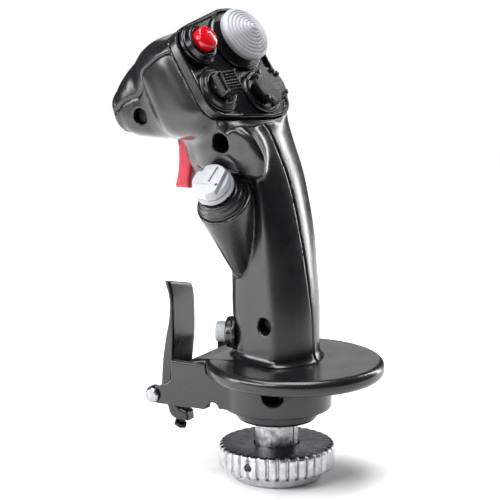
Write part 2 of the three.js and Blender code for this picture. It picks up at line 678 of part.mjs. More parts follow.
// The room to one side of the seam, which stands up the back and leans left over the head.
function besideSeam(side) {
  const edge = (side * GAP) / 2;
  const far = side * 100;
  const top = 220;
  const leaning = edge - SEAM_LEAN * (top - SEAM_BEND);
  const outline = [[edge, 0], [far, 0], [far, top], [leaning, top], [edge, SEAM_BEND]];
  const shape = new THREE.Shape(outline.map(([x, z]) => new THREE.Vector2(x, z)));
  const room = extruded(shape, -110, 110).rotateX(Math.PI / 2);
  return solid(room.rotateZ(SEAM_TURN).translate(0, SEAM_Y, 0));
}

// Behind the panel's plane and down to just below the panel, where the casting stands out again.
function roomAbovePanel(grow) {
  const low = -PANEL_FOOT - grow;
  return box(120, 60 - low, 40 + grow, 0, (60 + low) / 2, (40 - grow) / 2);
}

function addShells() {
  const shelfOutside = solid(shelf(0)).subtract(hatClearance(0));
  const shelfInside = solid(shelf(WALL)).subtract(hatClearance(WALL));
  let body = solid(column(0)).add(solid(head(0))).add(shelfOutside).add(solid(loft(POD.map(podRing))));
  let hollow = solid(column(WALL)).add(solid(head(WALL))).add(shelfInside);
  for (const screw of SHELL_SCREWS) {
    hollow = hollow.subtract(solid(alongX(screw.boss, screw.from, screw.to, screw.y, screw.z)));
  }
  for (const side of [-9.5, 7.9]) hollow = hollow.subtract(solid(box(2.4, 11, 16, side, 39, 151)));
  const besidePanel = solid(roomAbovePanel(WALL)).subtract(solid(panelPrism(WALL, -WALL - 1, 60)));
  hollow = hollow.subtract(besidePanel.transform(PANEL_FRAME.elements));
  body = body.subtract(hollow);
  const cuts = [
    placed(roomAbovePanel(0), PANEL_FRAME),
    placed(panelPrism(-GAP, -PANEL_THICK - GAP, 4), PANEL_FRAME),
    placed(rod(8.8, -17, 5, 20), HAT_FRAME),
    placed(rod(8.2, 0, 12, 20), BUTTON_FRAME),
    placed(rod(5.4, -14, 1, 16), BUTTON_FRAME),
    box(2 * TRIGGER_HALF + 2, 17, 34, 0, 41.4, 134),
    alongX(SHANK_HOLE, -12, 9.6, TRIGGER_PIN.y, TRIGGER_PIN.z),
  ];
  for (const [place, radius, depth] of SWITCH_POCKETS) {
    cuts.push(placed(rod(radius + 0.4, -depth - 0.5, 0).translate(...place, 0), PANEL_FRAME));
  }
  for (const screw of SHELL_SCREWS) {
    cuts.push(alongX(screw.hole, -45, screw.seat, screw.y, screw.z, 16));
    cuts.push(alongX(SHANK_HOLE, screw.seat - 1, screw.end + 0.5, screw.y, screw.z));
  }
  for (const cut of cuts) body = body.subtract(solid(cut));
  addPiece('left_grip_shell', biggestBody(body.intersect(besideSeam(-1))), PAINT);
  addPiece('right_grip_shell', biggestBody(body.intersect(besideSeam(1))), PAINT);
  for (const { name, y, z, seat, end } of SHELL_SCREWS) {
    const face = seat - GAP;
    const screw = turned([
      [0, face - 2.4], [2.9, face - 2.4], [2.9, face], [1.5, face], [1.5, end], [0, end],
    ], 12);
    addPiece(name, screw.rotateY(Math.PI / 2).translate(0, y, z), STEEL);
  }
}

// ---- the button panel and its controls ----

function panelOutline(inset) {
  const points = [];
  for (let i = 0; i < HEAD_SIDES; i++) points.push(new THREE.Vector2(...headPoint(HEAD[0], inset, i)));
  return new THREE.Shape(points);
}

function panelPrism(inset, low, high) {
  return extruded(panelOutline(inset), low, high);
}

function addPanel() {
  let panel = solid(panelPrism(0, -PANEL_THICK, 1.2)).subtract(solid(panelPrism(1.6, 0, 4)));
  const holes = [[RED_AT, 4, 9], [TRIM_AT, 5.6, 13.8], [RIBBED_AT, 5.2, 10], [CASTLE_AT, 5.2, 10]];
  for (const [[x, y], radius, bezel] of holes) {
    panel = panel.subtract(solid(rod(radius, -PANEL_THICK - 1, 2, 16).translate(x, y, 0)));
    panel = panel.subtract(solid(rod(bezel + 0.5, 0, 4, 28).translate(x, y, 0)));
  }
  addPiece('button_panel', panel, PAINT, groupAt(PANEL_FRAME));
}

function groupOnPanel([x, y]) {
  return groupAt(PANEL_FRAME.clone().multiply(new THREE.Matrix4().makeTranslation(x, y, 0)));
}

function addRedButton() {
  const group = groupOnPanel(RED_AT);
  addPiece('red_button_collar', turned([
    [5.7, GAP], [9, GAP], [9, 3.4], [7.2, 6.2], [6.3, 6.5], [5.7, 6.2],
  ], 20), BLACK_PLASTIC, group);
  addPiece('red_button', turned([
    [0, -5], [1.5, -5], [1.5, 2.4], [5.2, 2.4], [5.2, 9], [4.4, 10], [0, 10.4],
  ], 20), RED_BUTTON, group);
  const low = -PANEL_THICK - GAP;
  addPiece('red_button_switch', turned([
    [0, -16], [6.2, -16], [6.2, low], [2, low], [2, -8], [0, -8],
  ], 16), BLACK_PLASTIC, group);
}

// The parts under a tilting hat: a ring that tilts in a cup. The hat's stem stands in the ring.
function addTiltMechanism(prefix, group, top, cupRadius, depth) {
  const middle = top - 3.4;
  const reach = cupRadius - 1.9;
  const trunnion = rod(0.7, -reach, reach, 6).rotateY(Math.PI / 2).translate(0, 0, middle);
  const gimbal = solid(ring(3.6, 5, middle - 1, middle + 1, 16))
    .add(solid(trunnion))
    .subtract(solid(rod(3.3, middle - 2, middle + 2, 16)));
  addPiece(`${prefix}_gimbal`, gimbal, STEEL, group);
  addPiece(`${prefix}_switch`, turned([
    [0, top - depth], [cupRadius, top - depth], [cupRadius, top], [cupRadius - 1.4, top],
    [cupRadius - 1.4, top - 6.6], [0, top - 6.6],
  ], 16), BLACK_PLASTIC, group);
}

// A hat's stem, up to the given reach, with the short cross pin that sits in its gimbal.
function hatStem(cap, top, reach) {
  const middle = top - 3.4;
  const crossPin = rod(0.6, -2.9, 2.9, 6).rotateX(Math.PI / 2).translate(0, 0, middle);
  return solid(cap).add(solid(rod(1.9, middle - 1.2, reach, 12))).add(solid(crossPin));
}

const UNDER_PANEL = -PANEL_THICK - GAP;

function addTrimHat() {
  const group = groupOnPanel(TRIM_AT);
  addPiece('trim_bezel', turned([
    [7.2, GAP], [13.8, GAP], [13.8, 1.3], [12.6, 1.8], [7.2, 1.8],
  ], 28), BLACK_PLASTIC, group);
  const cap = turned([
    [0, 2.2], [3.2, 2.2], [8.8, 5], [12.1, 5], [12.1, 7.2], [11.4, 8], [8, 10.4], [4, 12.5],
    [1.4, 13.4], [0, 13.5],
  ], 28);
  addPiece('trim_hat', hatStem(cap, UNDER_PANEL, 3), WHITE_PLASTIC, group);
  addTiltMechanism('trim', group, UNDER_PANEL, 8.2, 14);
}

function addRibbedSwitch() {
  const group = groupOnPanel(RIBBED_AT);
  addPiece('ribbed_bezel', turned([
    [6.9, GAP], [10, GAP], [10, 1.4], [9, 2.1], [8.4, 2.1], [8.2, 3.3], [6.9, 3.3],
  ], 24), BLACK_PLASTIC, group);
  const dome = turned([[0, 1.6], [4.9, 1.6], [4.9, 3], [4.7, 4.6], [3.8, 5.6], [0, 5.9]], 20);
  let cap = hatStem(dome, UNDER_PANEL, 3).add(solid(box(9.2, 8, 4.2, 0, 0, 7.6)));
  for (let i = -2; i <= 2; i++) cap = cap.subtract(solid(box(10, 0.8, 1.4, 0, i * 1.6, 9.6)));
  addPiece('ribbed_cap', cap, BLACK_PLASTIC, group);
  addTiltMechanism('ribbed', group, UNDER_PANEL, 7.2, 11.5);
}

function addCastleSwitch() {
  const group = groupOnPanel(CASTLE_AT);
  addPiece('castle_collar', turned([
    [7.8, GAP], [10, GAP], [10, 1.2], [9.2, 1.8], [7.8, 1.8],
  ], 24), BLACK_PLASTIC, group);
  let cap = hatStem(turned([
    [0, 1.8], [4.6, 1.8], [4.8, 2.8], [7.2, 3.6], [7.9, 6.6], [7.4, 7.2], [0, 7.2],
  ], 24), UNDER_PANEL, 3);
  for (let i = 0; i < 4; i++) {
    const tab = box(1.6, 5, 2.2, 7.6, 0, 7.4).rotateZ(((i + 0.5) * Math.PI) / 2);
    cap = cap.add(solid(tab));
  }
  addPiece('castle_cap', cap, BLACK_PLASTIC, group);
  addTiltMechanism('castle', group, UNDER_PANEL, 7.2, 11.5);
}

// ---- the hat on the side pod ----

function addSideHat() {
  const group = groupAt(HAT_FRAME);
  addPiece('side_boot', turned([
    [6.8, GAP], [11.2, GAP], [10.9, 1.6], [10.2, 2], [10, 3.6], [8.8, 4.2], [8.4, 5.4], [6.8, 5.4],
  ], 24), RUBBER, group);
  const top = -1;
  const cap = turned([
    [0, 3.2], [4.2, 3.2], [4.4, 5], [5, 7.4], [8.5, 7.9], [8.6, 10.4], [8, 11], [0, 11],
  ], 24);
  const wedge = new THREE.CylinderGeometry(7.6, 8, 4.6, 16).rotateX(Math.PI / 2).translate(0, 0, 12.4);
  let hat = hatStem(cap, top, 4).add(solid(wedge));
  hat = hat.subtract(solid(box(20, 20, 8, 0, -8, 15.2).rotateX(-0.28)));
  hat = hat.subtract(solid(box(0.9, 6, 2, 1, 4.2, 15)));
  addPiece('side_hat', hat, WHITE_PLASTIC, group);
  addTiltMechanism('side', group, top, 8.2, 15);
}

// ---- the trigger ----

function triggerProfile() {
  const { y, z } = TRIGGER_PIN;
  const shape = new THREE.Shape();
  shape.moveTo(y - 4.4, z);
  shape.absarc(y, z, 4.4, Math.PI, 0, true);
  shape.quadraticCurveTo(y + 7.2, z - 8, y + 7.2, z - 14);
  shape.quadraticCurveTo(y + 6.8, z - 23, y + 9, z - 29.4);
  shape.lineTo(y + 8.6, z - 30.4);
  shape.lineTo(y + 1.8, z - 30.2);
  shape.quadraticCurveTo(y + 1, z - 20, y - 1.6, z - 11);
  shape.closePath();
  return shape;
}

// A coil of wire about X: its own radius, the wire's radius, the turns and the length.
class Helix extends THREE.Curve {
  constructor(radius, turns, length) {
    super();
    Object.assign(this, { radius, turns, length });
  }

  getPoint(t, target = new THREE.Vector3()) {
    const angle = 2 * Math.PI * this.turns * t;
    return target.set(this.length * t, this.radius * Math.cos(angle), this.radius * Math.sin(angle));
  }
}

function coil(radius, wire, turns, length) {
  const section = new THREE.Shape().absarc(0, 0, wire, 0, 2 * Math.PI);
  return new THREE.ExtrudeGeometry(section, {
    steps: turns * 9, curveSegments: 3, bevelEnabled: false, extrudePath: new Helix(radius, turns, length),
  });
}

function addTrigger() {
  const { y, z } = TRIGGER_PIN;
  const blade = solid(sideProfile(triggerProfile(), TRIGGER_HALF));
  addPiece('trigger', blade.subtract(solid(alongX(1.9, -8, 8, y, z))), RED_TRIGGER);
  addPiece('trigger_pin', alongX(1.5, -11.6, 9.3, y, z), STEEL);
  addPiece('trigger_spring', coil(2.7, 0.4, 2, 1.6).translate(-TRIGGER_HALF - 2.2, y, z), STEEL);
  const nib = rod(1, 32, 34.6, 8).rotateX(-Math.PI / 2).translate(0, 0, 142);
  addPiece('trigger_switch', solid(box(6, 8, 11, 0, 28.4, 141)).add(solid(nib)), BLACK_PLASTIC);
}

// ---- the small button low on the front ----

function addSideButton() {
  const group = groupAt(BUTTON_FRAME);
  addPiece('side_button_flange', turned([
    [4.9, GAP], [7.6, GAP], [7.6, 1.8], [6.8, 2.4], [6.6, 4.2], [5.8, 5.2], [4.9, 5.2],
  ], 20), BLACK_PLASTIC, group);
  addPiece('side_button', turned([
    [0, -4], [1.4, -4], [1.4, 1], [4.4, 1], [4.4, 9.2], [4, 9.6], [0, 9.6],
  ], 20), WHITE_PLASTIC, group);
  addPiece('side_button_switch', turned([
    [0, -12], [5, -12], [5, -1], [2, -1], [2, -7], [0, -7],
  ], 14), BLACK_PLASTIC, group);
}

// ---- inside the column ----

const LOOM_ROUTE = [
  [0, 0, 8.4], [0, 0, 20], [0, 0, 36], [1, 0.5, 48], [5, 2.5, 57], [7, 4, 64], [7, 4, 67.2],
];

function addElectronics() {
  addPiece('main_board', box(16, 1.6, 44, 2.5, 4, 90), BOARD_GREEN);
  const route = new THREE.CatmullRomCurve3(LOOM_ROUTE.map((point) => new THREE.Vector3(...point)));
  const section = new THREE.Shape().absarc(0, 0, 2.2, 0, 2 * Math.PI);
  addPiece('wiring_loom', new THREE.ExtrudeGeometry(section, {
    steps: 12, curveSegments: 4, bevelEnabled: false, extrudePath: route,
  }), RUBBER);
}

const BUILDERS = [
  addNut, addSpigot, addConnector, addCollar, addHousing, addRest, addPaddle, addPaddleSwitch, addShells,
  addPanel, addRedButton, addTrimHat, addRibbedSwitch, addCastleSwitch, addSideHat, addTrigger,
  addSideButton, addElectronics,
];
BUILDERS.forEach((build) => build());

export default model;
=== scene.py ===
"""The look of the flight joystick grip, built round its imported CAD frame.

Cast and moulded pieces are modelled as distance fields, meshed on a fine grid and settled onto the
exact surface, so that their walls blend as castings do. Turned pieces are revolved profiles with
softened corners. Lengths in the modelling code are millimetres in the row frame.
"""

import json
import math

import bmesh
import bpy
import numpy as np
from mathutils import Matrix, Vector

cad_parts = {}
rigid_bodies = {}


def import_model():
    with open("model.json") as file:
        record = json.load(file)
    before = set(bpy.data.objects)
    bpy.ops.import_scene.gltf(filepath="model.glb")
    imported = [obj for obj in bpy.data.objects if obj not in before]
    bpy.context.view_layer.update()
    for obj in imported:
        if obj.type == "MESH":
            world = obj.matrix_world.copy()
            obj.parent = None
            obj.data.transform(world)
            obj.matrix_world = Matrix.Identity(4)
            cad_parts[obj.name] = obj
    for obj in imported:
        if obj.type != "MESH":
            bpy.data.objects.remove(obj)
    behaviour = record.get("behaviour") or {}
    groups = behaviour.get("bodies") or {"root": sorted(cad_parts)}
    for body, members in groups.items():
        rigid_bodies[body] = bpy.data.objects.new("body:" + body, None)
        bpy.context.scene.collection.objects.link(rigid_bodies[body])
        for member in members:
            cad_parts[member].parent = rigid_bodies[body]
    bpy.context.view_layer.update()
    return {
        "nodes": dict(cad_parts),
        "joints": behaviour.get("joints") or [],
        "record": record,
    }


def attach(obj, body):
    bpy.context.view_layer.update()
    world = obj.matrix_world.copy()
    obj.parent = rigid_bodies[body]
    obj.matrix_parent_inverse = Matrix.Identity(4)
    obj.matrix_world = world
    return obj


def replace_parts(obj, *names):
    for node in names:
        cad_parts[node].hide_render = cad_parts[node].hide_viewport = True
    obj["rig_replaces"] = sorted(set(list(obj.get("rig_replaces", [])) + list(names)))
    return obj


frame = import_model()
MM = 0.001

# ---- driving dimensions, as in the CAD ----

GAP = 0.3
WALL = 2.6
REST_BOTTOM, REST_TOP = 46.3, 53.2
REST_RADIUS, REST_CENTRE_Y, REST_FRONT = 38, -9, 35
DRUM_BOTTOM, DRUM_TOP, DRUM_RADIUS, FLOOR = 31.2, 46, 23.7, 3
ARM_OUTER, ARM_INNER, ARM_TOP, ARM_LOW = 21, 17.7, 50.4, 31
PIVOT_Y, PIVOT_Z = 49.5, 34
COLLAR_BOTTOM = 26
SPIGOT_RADIUS = 9.2
NUT_RADIUS, NUT_TOP, NUT_RIDGES = 25, 14.9, 36
NUT_LIP_RADIUS, NUT_LIP_TOP, NUT_SOCKET_RADIUS, NUT_PLATE = 19, 4.6, 17.6, 3.1
TOMMY_HEIGHT, TOMMY_RADIUS = 9.8, 1.8
SEAM_TURN, SEAM_Y, SEAM_BEND, SEAM_LEAN = math.radians(8), -17, 150.5, 0.68
SEAM_TOP = 210
SEAM_EASE = 0.55  # how near to the seam its edge starts to turn in
SHELL_BOTTOM = 53.5
PANEL_THICK, PANEL_RIM = 3, 1.2
PANEL_FOOT = 27.6  # below this the casting may stand out behind the panel's plane
PIN_HOLE = 1.9  # radius of the holes for pins and screws
STEM_RADIUS = 1.9
TRIGGER_PIN_Y, TRIGGER_PIN_Z = 38.6, 153
HAT_DEPTH = 6.7  # from the panel's face down to a hat's pivot
SIDE_HAT_DEPTH = 4.4
BUTTON_SEAT = (-6, 15.5, 63)
TRIM_AT, RED_AT, RIBBED_AT, CASTLE_AT = (11.6, 10.2), (-15.2, 10.2), (-15, -10.5), (11, -14.6)


# ---- frames of the tilting hats and the panel, read from the joints ----

def joint(name):
    return next(j for j in frame["joints"] if j["name"] == name)


def hat_frame(prefix, depth):
    """The local frame of a hat: X and Y along its two hinge axes, Z outwards, seat at Z 0."""
    across = Vector(joint(prefix + "_fore_aft")["axis"])
    along = Vector(joint(prefix + "_left_right")["axis"])
    out = across.cross(along)
    pivot = Vector(joint(prefix + "_fore_aft")["pos_m"]) / MM
    place = Matrix((across, along, out)).transposed().to_4x4()
    place.translation = pivot + out * depth
    return place


TRIM = hat_frame("trim", HAT_DEPTH)
PANEL = TRIM @ Matrix.Translation((-TRIM_AT[0], -TRIM_AT[1], 0))
SIDE = hat_frame("side", SIDE_HAT_DEPTH)


def on_panel(place):
    return PANEL @ Matrix.Translation((place[0], place[1], 0))


def button_frame():
    """The local frame of the small front button, seat at Z 0."""
    out = -Vector(joint("side_button_press")["axis"])
    across = Vector((out.y, -out.x, 0))
    place = Matrix((across, out.cross(across), out)).transposed().to_4x4()
    place.translation = BUTTON_SEAT
    return place


BUTTON = button_frame()


# ---- distance fields ----

def smooth_min(a, b, width):
    mix = np.clip(0.5 + 0.5 * (b - a) / width, 0, 1)
    return b * (1 - mix) + a * mix - width * mix * (1 - mix)


def smooth_max(a, b, width):
    return -smooth_min(-a, -b, width)


def carved(body, tool, soft):
    """The body less the tool, with its new edge softened."""
    return smooth_max(body, -tool, soft)


class Track:
    """Values that vary smoothly with one station, through a few given rows."""

    def __init__(self, rows, steps=400):
        table = np.array(rows, float)
        at, values = table[:, 0], table[:, 1:]
        slopes = np.gradient(values, at, axis=0)
        self.stations = np.linspace(at[0], at[-1], steps)
        cell = np.clip(np.searchsorted(at, self.stations, side="right") - 1, 0, len(at) - 2)
        span = at[cell + 1] - at[cell]
        t = ((self.stations - at[cell]) / span)[:, None]
        span = span[:, None]
        self.values = (
            values[cell] * (1 + 2 * t) * (1 - t) ** 2
            + slopes[cell] * span * t * (1 - t) ** 2
            + values[cell + 1] * t ** 2 * (3 - 2 * t)
            + slopes[cell + 1] * span * t ** 2 * (t - 1)
        )

    def __call__(self, station):
        return [np.interp(station, self.stations, column) for column in self.values.T]


def ball_chain(p, centres, radii):
    """Distance to a chain of tapering round rods."""
    best = None
    for a, b, ra, rb in zip(centres, centres[1:], radii, radii[1:]):
        a, b = np.array(a, float), np.array(b, float)
        t = np.clip((p - a) @ (b - a) / ((b - a) @ (b - a)), 0, 1)
        near = np.linalg.norm(p - a - t[:, None] * (b - a), axis=1) - (ra + t * (rb - ra))
        best = near if best is None else smooth_min(best, near, 1.5)
    return best


def local(p, place):
    """Points of the row frame in a local frame."""
    turn = np.array(place.to_3x3())
    return (p - np.array(place.translation)) @ turn


def turned_about_z(p, angle):
    """Points seen from axes that are turned about Z."""
    across = p[:, 0] * math.cos(angle) + p[:, 1] * math.sin(angle)
    along = -p[:, 0] * math.sin(angle) + p[:, 1] * math.cos(angle)
    return np.stack([across, along, p[:, 2]], axis=1)


def cylinder(p, radius, low, high, soft=0.05):
    """Distance to a cylinder about Z."""
    side = np.hypot(p[:, 0], p[:, 1]) - radius
    return smooth_max(side, np.maximum(low - p[:, 2], p[:, 2] - high), soft)


def cylinder_x(p, radius, low, high, y, z, soft=0.05):
    side = np.hypot(p[:, 1] - y, p[:, 2] - z) - radius
    return smooth_max(side, np.maximum(low - p[:, 0], p[:, 0] - high), soft)


def block(p, low, high, soft=0.05):
    centre = (np.array(low) + np.array(high)) / 2
    half = (np.array(high) - np.array(low)) / 2 - soft
    q = np.abs(p - centre) - half
    outside = np.linalg.norm(np.maximum(q, 0), axis=1)
    return outside + np.minimum(q.max(axis=1), 0) - soft


def polygon(x, y, corners):
    """Signed distance to a polygon, negative inside."""
    best = np.full(x.shape, np.inf)
    inside = np.zeros(x.shape, bool)
    for (ax, ay), (bx, by) in zip(corners, corners[1:] + corners[:1]):
        ex, ey = bx - ax, by - ay
        t = np.clip(((x - ax) * ex + (y - ay) * ey) / (ex * ex + ey * ey), 0, 1)
        best = np.minimum(best, np.hypot(x - ax - t * ex, y - ay - t * ey))
        if ay != by:
            crosses = ((ay > y) != (by > y)) & (x < ex * (y - ay) / ey + ax)
            inside ^= crosses
    return np.where(inside, -best, best)


def slab(flat, height, half, edge):
    """A flat outline's distance pulled to a plate of the given half height, with round edges."""
    a, b = flat + edge, np.abs(height) - half + edge
    return np.minimum(np.maximum(a, b), 0) + np.hypot(np.maximum(a, 0), np.maximum(b, 0)) - edge


# ---- from a distance field to a mesh ----

BLOCK = 8  # grid cells along one side of a culling block
FIELD_SLOPE = 1.6  # the steepest slope that a field is taken to have
BLOCKS_AT_ONCE = 400


def sample(field, low, shape, step):
    """The field on a grid, worked out only near its surface."""
    blocks = [math.ceil((n - 1) / BLOCK) for n in shape]
    middles = np.indices(blocks).reshape(3, -1).T * BLOCK + BLOCK / 2
    rough = field(low + middles * step)
    reach = 0.5 * math.sqrt(3) * BLOCK * step * FIELD_SLOPE + 1
    values = np.repeat(np.repeat(np.repeat(rough.reshape(blocks), BLOCK, 0), BLOCK, 1), BLOCK, 2)
    values = np.pad(values, [(0, 1)] * 3, mode="edge")
    cell = np.indices([BLOCK + 1] * 3).reshape(3, -1).T
    near = (np.abs(rough) < reach).nonzero()[0]
    corners = (middles[near] - BLOCK / 2).astype(int)
    for start in range(0, len(corners), BLOCKS_AT_ONCE):
        at = (corners[start:start + BLOCKS_AT_ONCE, None, :] + cell[None]).reshape(-1, 3)
        values[tuple(at.T)] = field(low + at * step)
    return values


def surface_net(values, low, step):
    """Points and quads of the zero surface: one point in each cell that the surface crosses."""
    cells = tuple(n - 1 for n in values.shape)
    size = int(np.prod(cells))
    total = np.zeros((size, 3))
    count = np.zeros(size)
    crossings = []
    for axis in range(3):
        first = np.moveaxis(values, axis, 0)[:-1]
        second = np.moveaxis(values, axis, 0)[1:]
        crossed = (first < 0) != (second < 0)
        at = np.argwhere(crossed)
        share = first[crossed] / (first[crossed] - second[crossed])
        starts_inside = first[crossed] < 0
        others = [i for i in range(3) if i != axis]
        index = np.empty_like(at)
        index[:, axis] = at[:, 0]
        index[:, others] = at[:, 1:]
        point = index.astype(float)
        point[:, axis] += share
        b, c = (axis + 1) % 3, (axis + 2) % 3
        crossings.append((index, starts_inside, b, c))
        for step_b, step_c in ((0, 0), (1, 0), (1, 1), (0, 1)):
            cell = index.copy()
            cell[:, b] -= step_b
            cell[:, c] -= step_c
            kept = (cell >= 0).all(axis=1) & (cell < cells).all(axis=1)
            flat = np.ravel_multi_index(cell[kept].T, cells)
            count += np.bincount(flat, minlength=size)
            for k in range(3):
                total[:, k] += np.bincount(flat, weights=point[kept, k], minlength=size)
    used = count > 0
    number = np.full(size, -1)
    number[used] = np.arange(used.sum())
    points = np.array(low) + step * total[used] / count[used, None]
    quads = []
    for index, starts_inside, b, c in crossings:
        kept = (index[:, b] > 0) & (index[:, c] > 0) & (index[:, b] < cells[b]) & (index[:, c] < cells[c])
        ring = []
        for step_b, step_c in ((1, 1), (0, 1), (0, 0), (1, 0)):
            cell = index[kept].copy()
            cell[:, b] -= step_b
            cell[:, c] -= step_c
            ring.append(number[np.ravel_multi_index(cell.T, cells)])
        quad = np.stack(ring, axis=1)
        turned = ~starts_inside[kept]
        quad[turned] = quad[turned][:, ::-1]
        quads.append(quad)
    return points, np.concatenate(quads)


def settle(points, field, step, rounds=4):
    """Moves each point along the field's slope onto its zero surface."""
    nudge = 0.02
    for _ in range(rounds):
        value = field(points)
        slope = np.stack([(field(points + nudge * axis) - value) / nudge for axis in np.eye(3)], axis=1)
        squared = np.maximum((slope ** 2).sum(axis=1), 0.05)
        move = -(value / squared)[:, None] * slope
        length = np.linalg.norm(move, axis=1, keepdims=True)
        points = points + move * np.minimum(1, 0.5 * step / np.maximum(length, 1e-9))
    return points


def mesh_field(name, field, low, high, step, place=None):
    """A mesh object of the field's zero surface, in metres. place moves a field given in a local frame."""
    low, high = np.array(low, float) - 1.5 * step, np.array(high, float) + 1.5 * step
    shape = np.ceil((high - low) / step).astype(int) + 1
    values = sample(field, low, shape, step)
    points, quads = surface_net(values, low, step)
    points = settle(points, field, step)
    mesh = bpy.data.meshes.new(name)
    mesh.from_pydata((points * MM).tolist(), [], quads.tolist())
    mesh.validate()
    if place:
        mesh.transform(in_metres(place))
    return link(name, mesh)


def in_metres(place):
    scaled = place.copy()
    scaled.translation = place.translation * MM
    return scaled


def link(name, mesh):
    piece = bpy.data.objects.new(name, mesh)
    bpy.context.scene.collection.objects.link(piece)
    return piece


def smooth_shading(piece, angle=35):
    mesh = piece.data
    mesh.polygons.foreach_set("use_smooth", [True] * len(mesh.polygons))
    mesh.set_sharp_from_angle(angle=math.radians(angle))


# ---- turned pieces ----

def soften(profile, radius, steps=3):
    """The profile with its corners rounded. Points on the axis stay."""
    closed = not (profile[0][0] == 0 and profile[-1][0] == 0)
    count = len(profile)
    result = []
    for i, here in enumerate(profile):
        if not closed and i in (0, count - 1):
            result.append(here)
            continue
        before, after = Vector(profile[i - 1]), Vector(profile[(i + 1) % count])
        corner = Vector(here)
        cut_in = min(radius, (before - corner).length * 0.45)
        cut_out = min(radius, (after - corner).length * 0.45)
        start = corner + (before - corner).normalized() * cut_in
        end = corner + (after - corner).normalized() * cut_out
        for k in range(steps + 1):
            t = k / steps
            result.append(tuple(start * (1 - t) ** 2 + corner * 2 * t * (1 - t) + end * t ** 2))
    return result


def revolve(name, profile, place=Matrix(), sides=96, edge=0.2, shape=None):
    """A closed body turned about the local Z. shape(radius, height, angle) may vary its radius."""
    points = soften(profile, edge) if edge else list(profile)
    closed = not (profile[0][0] == 0 and profile[-1][0] == 0)
    bm = bmesh.new()
    rows = []
    for radius, height in points:
        if radius < 1e-6:
            rows.append([bm.verts.new((0, 0, height * MM))])
            continue
        row = []
        for i in range(sides):
            angle = 2 * math.pi * i / sides
            r = shape(radius, height, angle) if shape else radius
            row.append(bm.verts.new((r * math.cos(angle) * MM, r * math.sin(angle) * MM, height * MM)))
        rows.append(row)
    pairs = list(zip(rows, rows[1:])) + ([(rows[-1], rows[0])] if closed else [])
    for lower, upper in pairs:
        for i in range(sides):
            j = (i + 1) % sides
            ring = [row[k % len(row)] for row, k in ((lower, i), (lower, j), (upper, j), (upper, i))]
            ring = list(dict.fromkeys(ring))
            if len(ring) > 2:
                bm.faces.new(ring)
    bmesh.ops.recalc_face_normals(bm, faces=bm.faces)
    bmesh.ops.transform(bm, matrix=in_metres(place), verts=bm.verts)
    mesh = bpy.data.meshes.new(name)
    bm.to_mesh(mesh)
    bm.free()
    return link(name, mesh)


# ---- materials ----

def principled(name, color, roughness, metallic=0.0):
    """A material with a principled shader, its node tree and that shader."""
    material = bpy.data.materials.new(name)
    material.use_nodes = True
    tree = material.node_tree
    shader = tree.nodes["Principled BSDF"]
    shader.inputs["Base Color"].default_value = (*color, 1)
    shader.inputs["Roughness"].default_value = roughness
    shader.inputs["Metallic"].default_value = metallic
    return material, tree, shader


def node(tree, kind, links=()):
    made = tree.nodes.new(kind)
    for socket, source in links:
        tree.links.new(source, made.inputs[socket])
    return made


def noise(tree, scale, detail=4.0, stretch=(1, 1, 1)):
    """A noise in the piece's own coordinates; scale is in waves per metre."""
    place = tree.nodes.get("Texture Coordinate") or node(tree, "ShaderNodeTexCoord")
    mapping = node(tree, "ShaderNodeMapping", [("Vector", place.outputs["Object"])])
    mapping.inputs["Scale"].default_value = stretch
    texture = node(tree, "ShaderNodeTexNoise", [("Vector", mapping.outputs["Vector"])])
    texture.inputs["Scale"].default_value = scale
    texture.inputs["Detail"].default_value = detail
    return texture.outputs["Fac"]


def ranged(tree, source, low, high, start=0.3, end=0.7):
    mapped = node(tree, "ShaderNodeMapRange", [("Value", source)])
    mapped.inputs["From Min"].default_value = start
    mapped.inputs["From Max"].default_value = end
    mapped.inputs["To Min"].default_value = low
    mapped.inputs["To Max"].default_value = high
    return mapped.outputs["Result"]


def vary(tree, shader, source, roughness):
    """Roughness that follows a noise between two values."""
    tree.links.new(ranged(tree, source, *roughness), shader.inputs["Roughness"])


def bump(tree, shader, source, distance, strength=1.0):
    made = node(tree, "ShaderNodeBump", [("Height", source)])
    made.inputs["Distance"].default_value = distance * MM
    made.inputs["Strength"].default_value = strength
    tree.links.new(made.outputs["Normal"], shader.inputs["Normal"])


def blend_color(tree, shader, source, first, second):
    ramp = node(tree, "ShaderNodeValToRGB", [("Fac", source)])
    ramp.color_ramp.elements[0].color = (*first, 1)
    ramp.color_ramp.elements[0].position = 0.35
    ramp.color_ramp.elements[1].color = (*second, 1)
    ramp.color_ramp.elements[1].position = 0.65
    tree.links.new(ramp.outputs["Color"], shader.inputs["Base Color"])


def black_paint():
    """Semi-gloss paint on a casting: faint orange peel, a little dust and handling wear."""
    material, tree, shader = principled("black_paint", (0.006, 0.006, 0.007), 0.24)
    vary(tree, shader, noise(tree, 90), (0.2, 0.29))
    blend_color(tree, shader, noise(tree, 140, 6), (0.005, 0.005, 0.006), (0.009, 0.009, 0.01))
    bump(tree, shader, noise(tree, 900, 3), 0.03, 0.5)
    return material


def moulded(name, first, second, roughness, grain=0.03, scale=1600):
    """A moulded plastic with fine grain."""
    material, tree, shader = principled(name, first, roughness[0])
    vary(tree, shader, noise(tree, 160), roughness)
    blend_color(tree, shader, noise(tree, 260, 5), first, second)
    bump(tree, shader, noise(tree, scale, 4), grain, 0.6)
    return material


def metal(name, first, second, roughness, grain=0.02, scale=900, stretch=(1, 1, 1)):
    """A bare metal with tool marks along one direction and patchy wear."""
    material, tree, shader = principled(name, first, roughness[0], 1.0)
    vary(tree, shader, noise(tree, 300, 5, stretch), roughness)
    blend_color(tree, shader, noise(tree, 350, 6, stretch), first, second)
    bump(tree, shader, noise(tree, scale, 5, stretch), grain, 0.7)
    return material


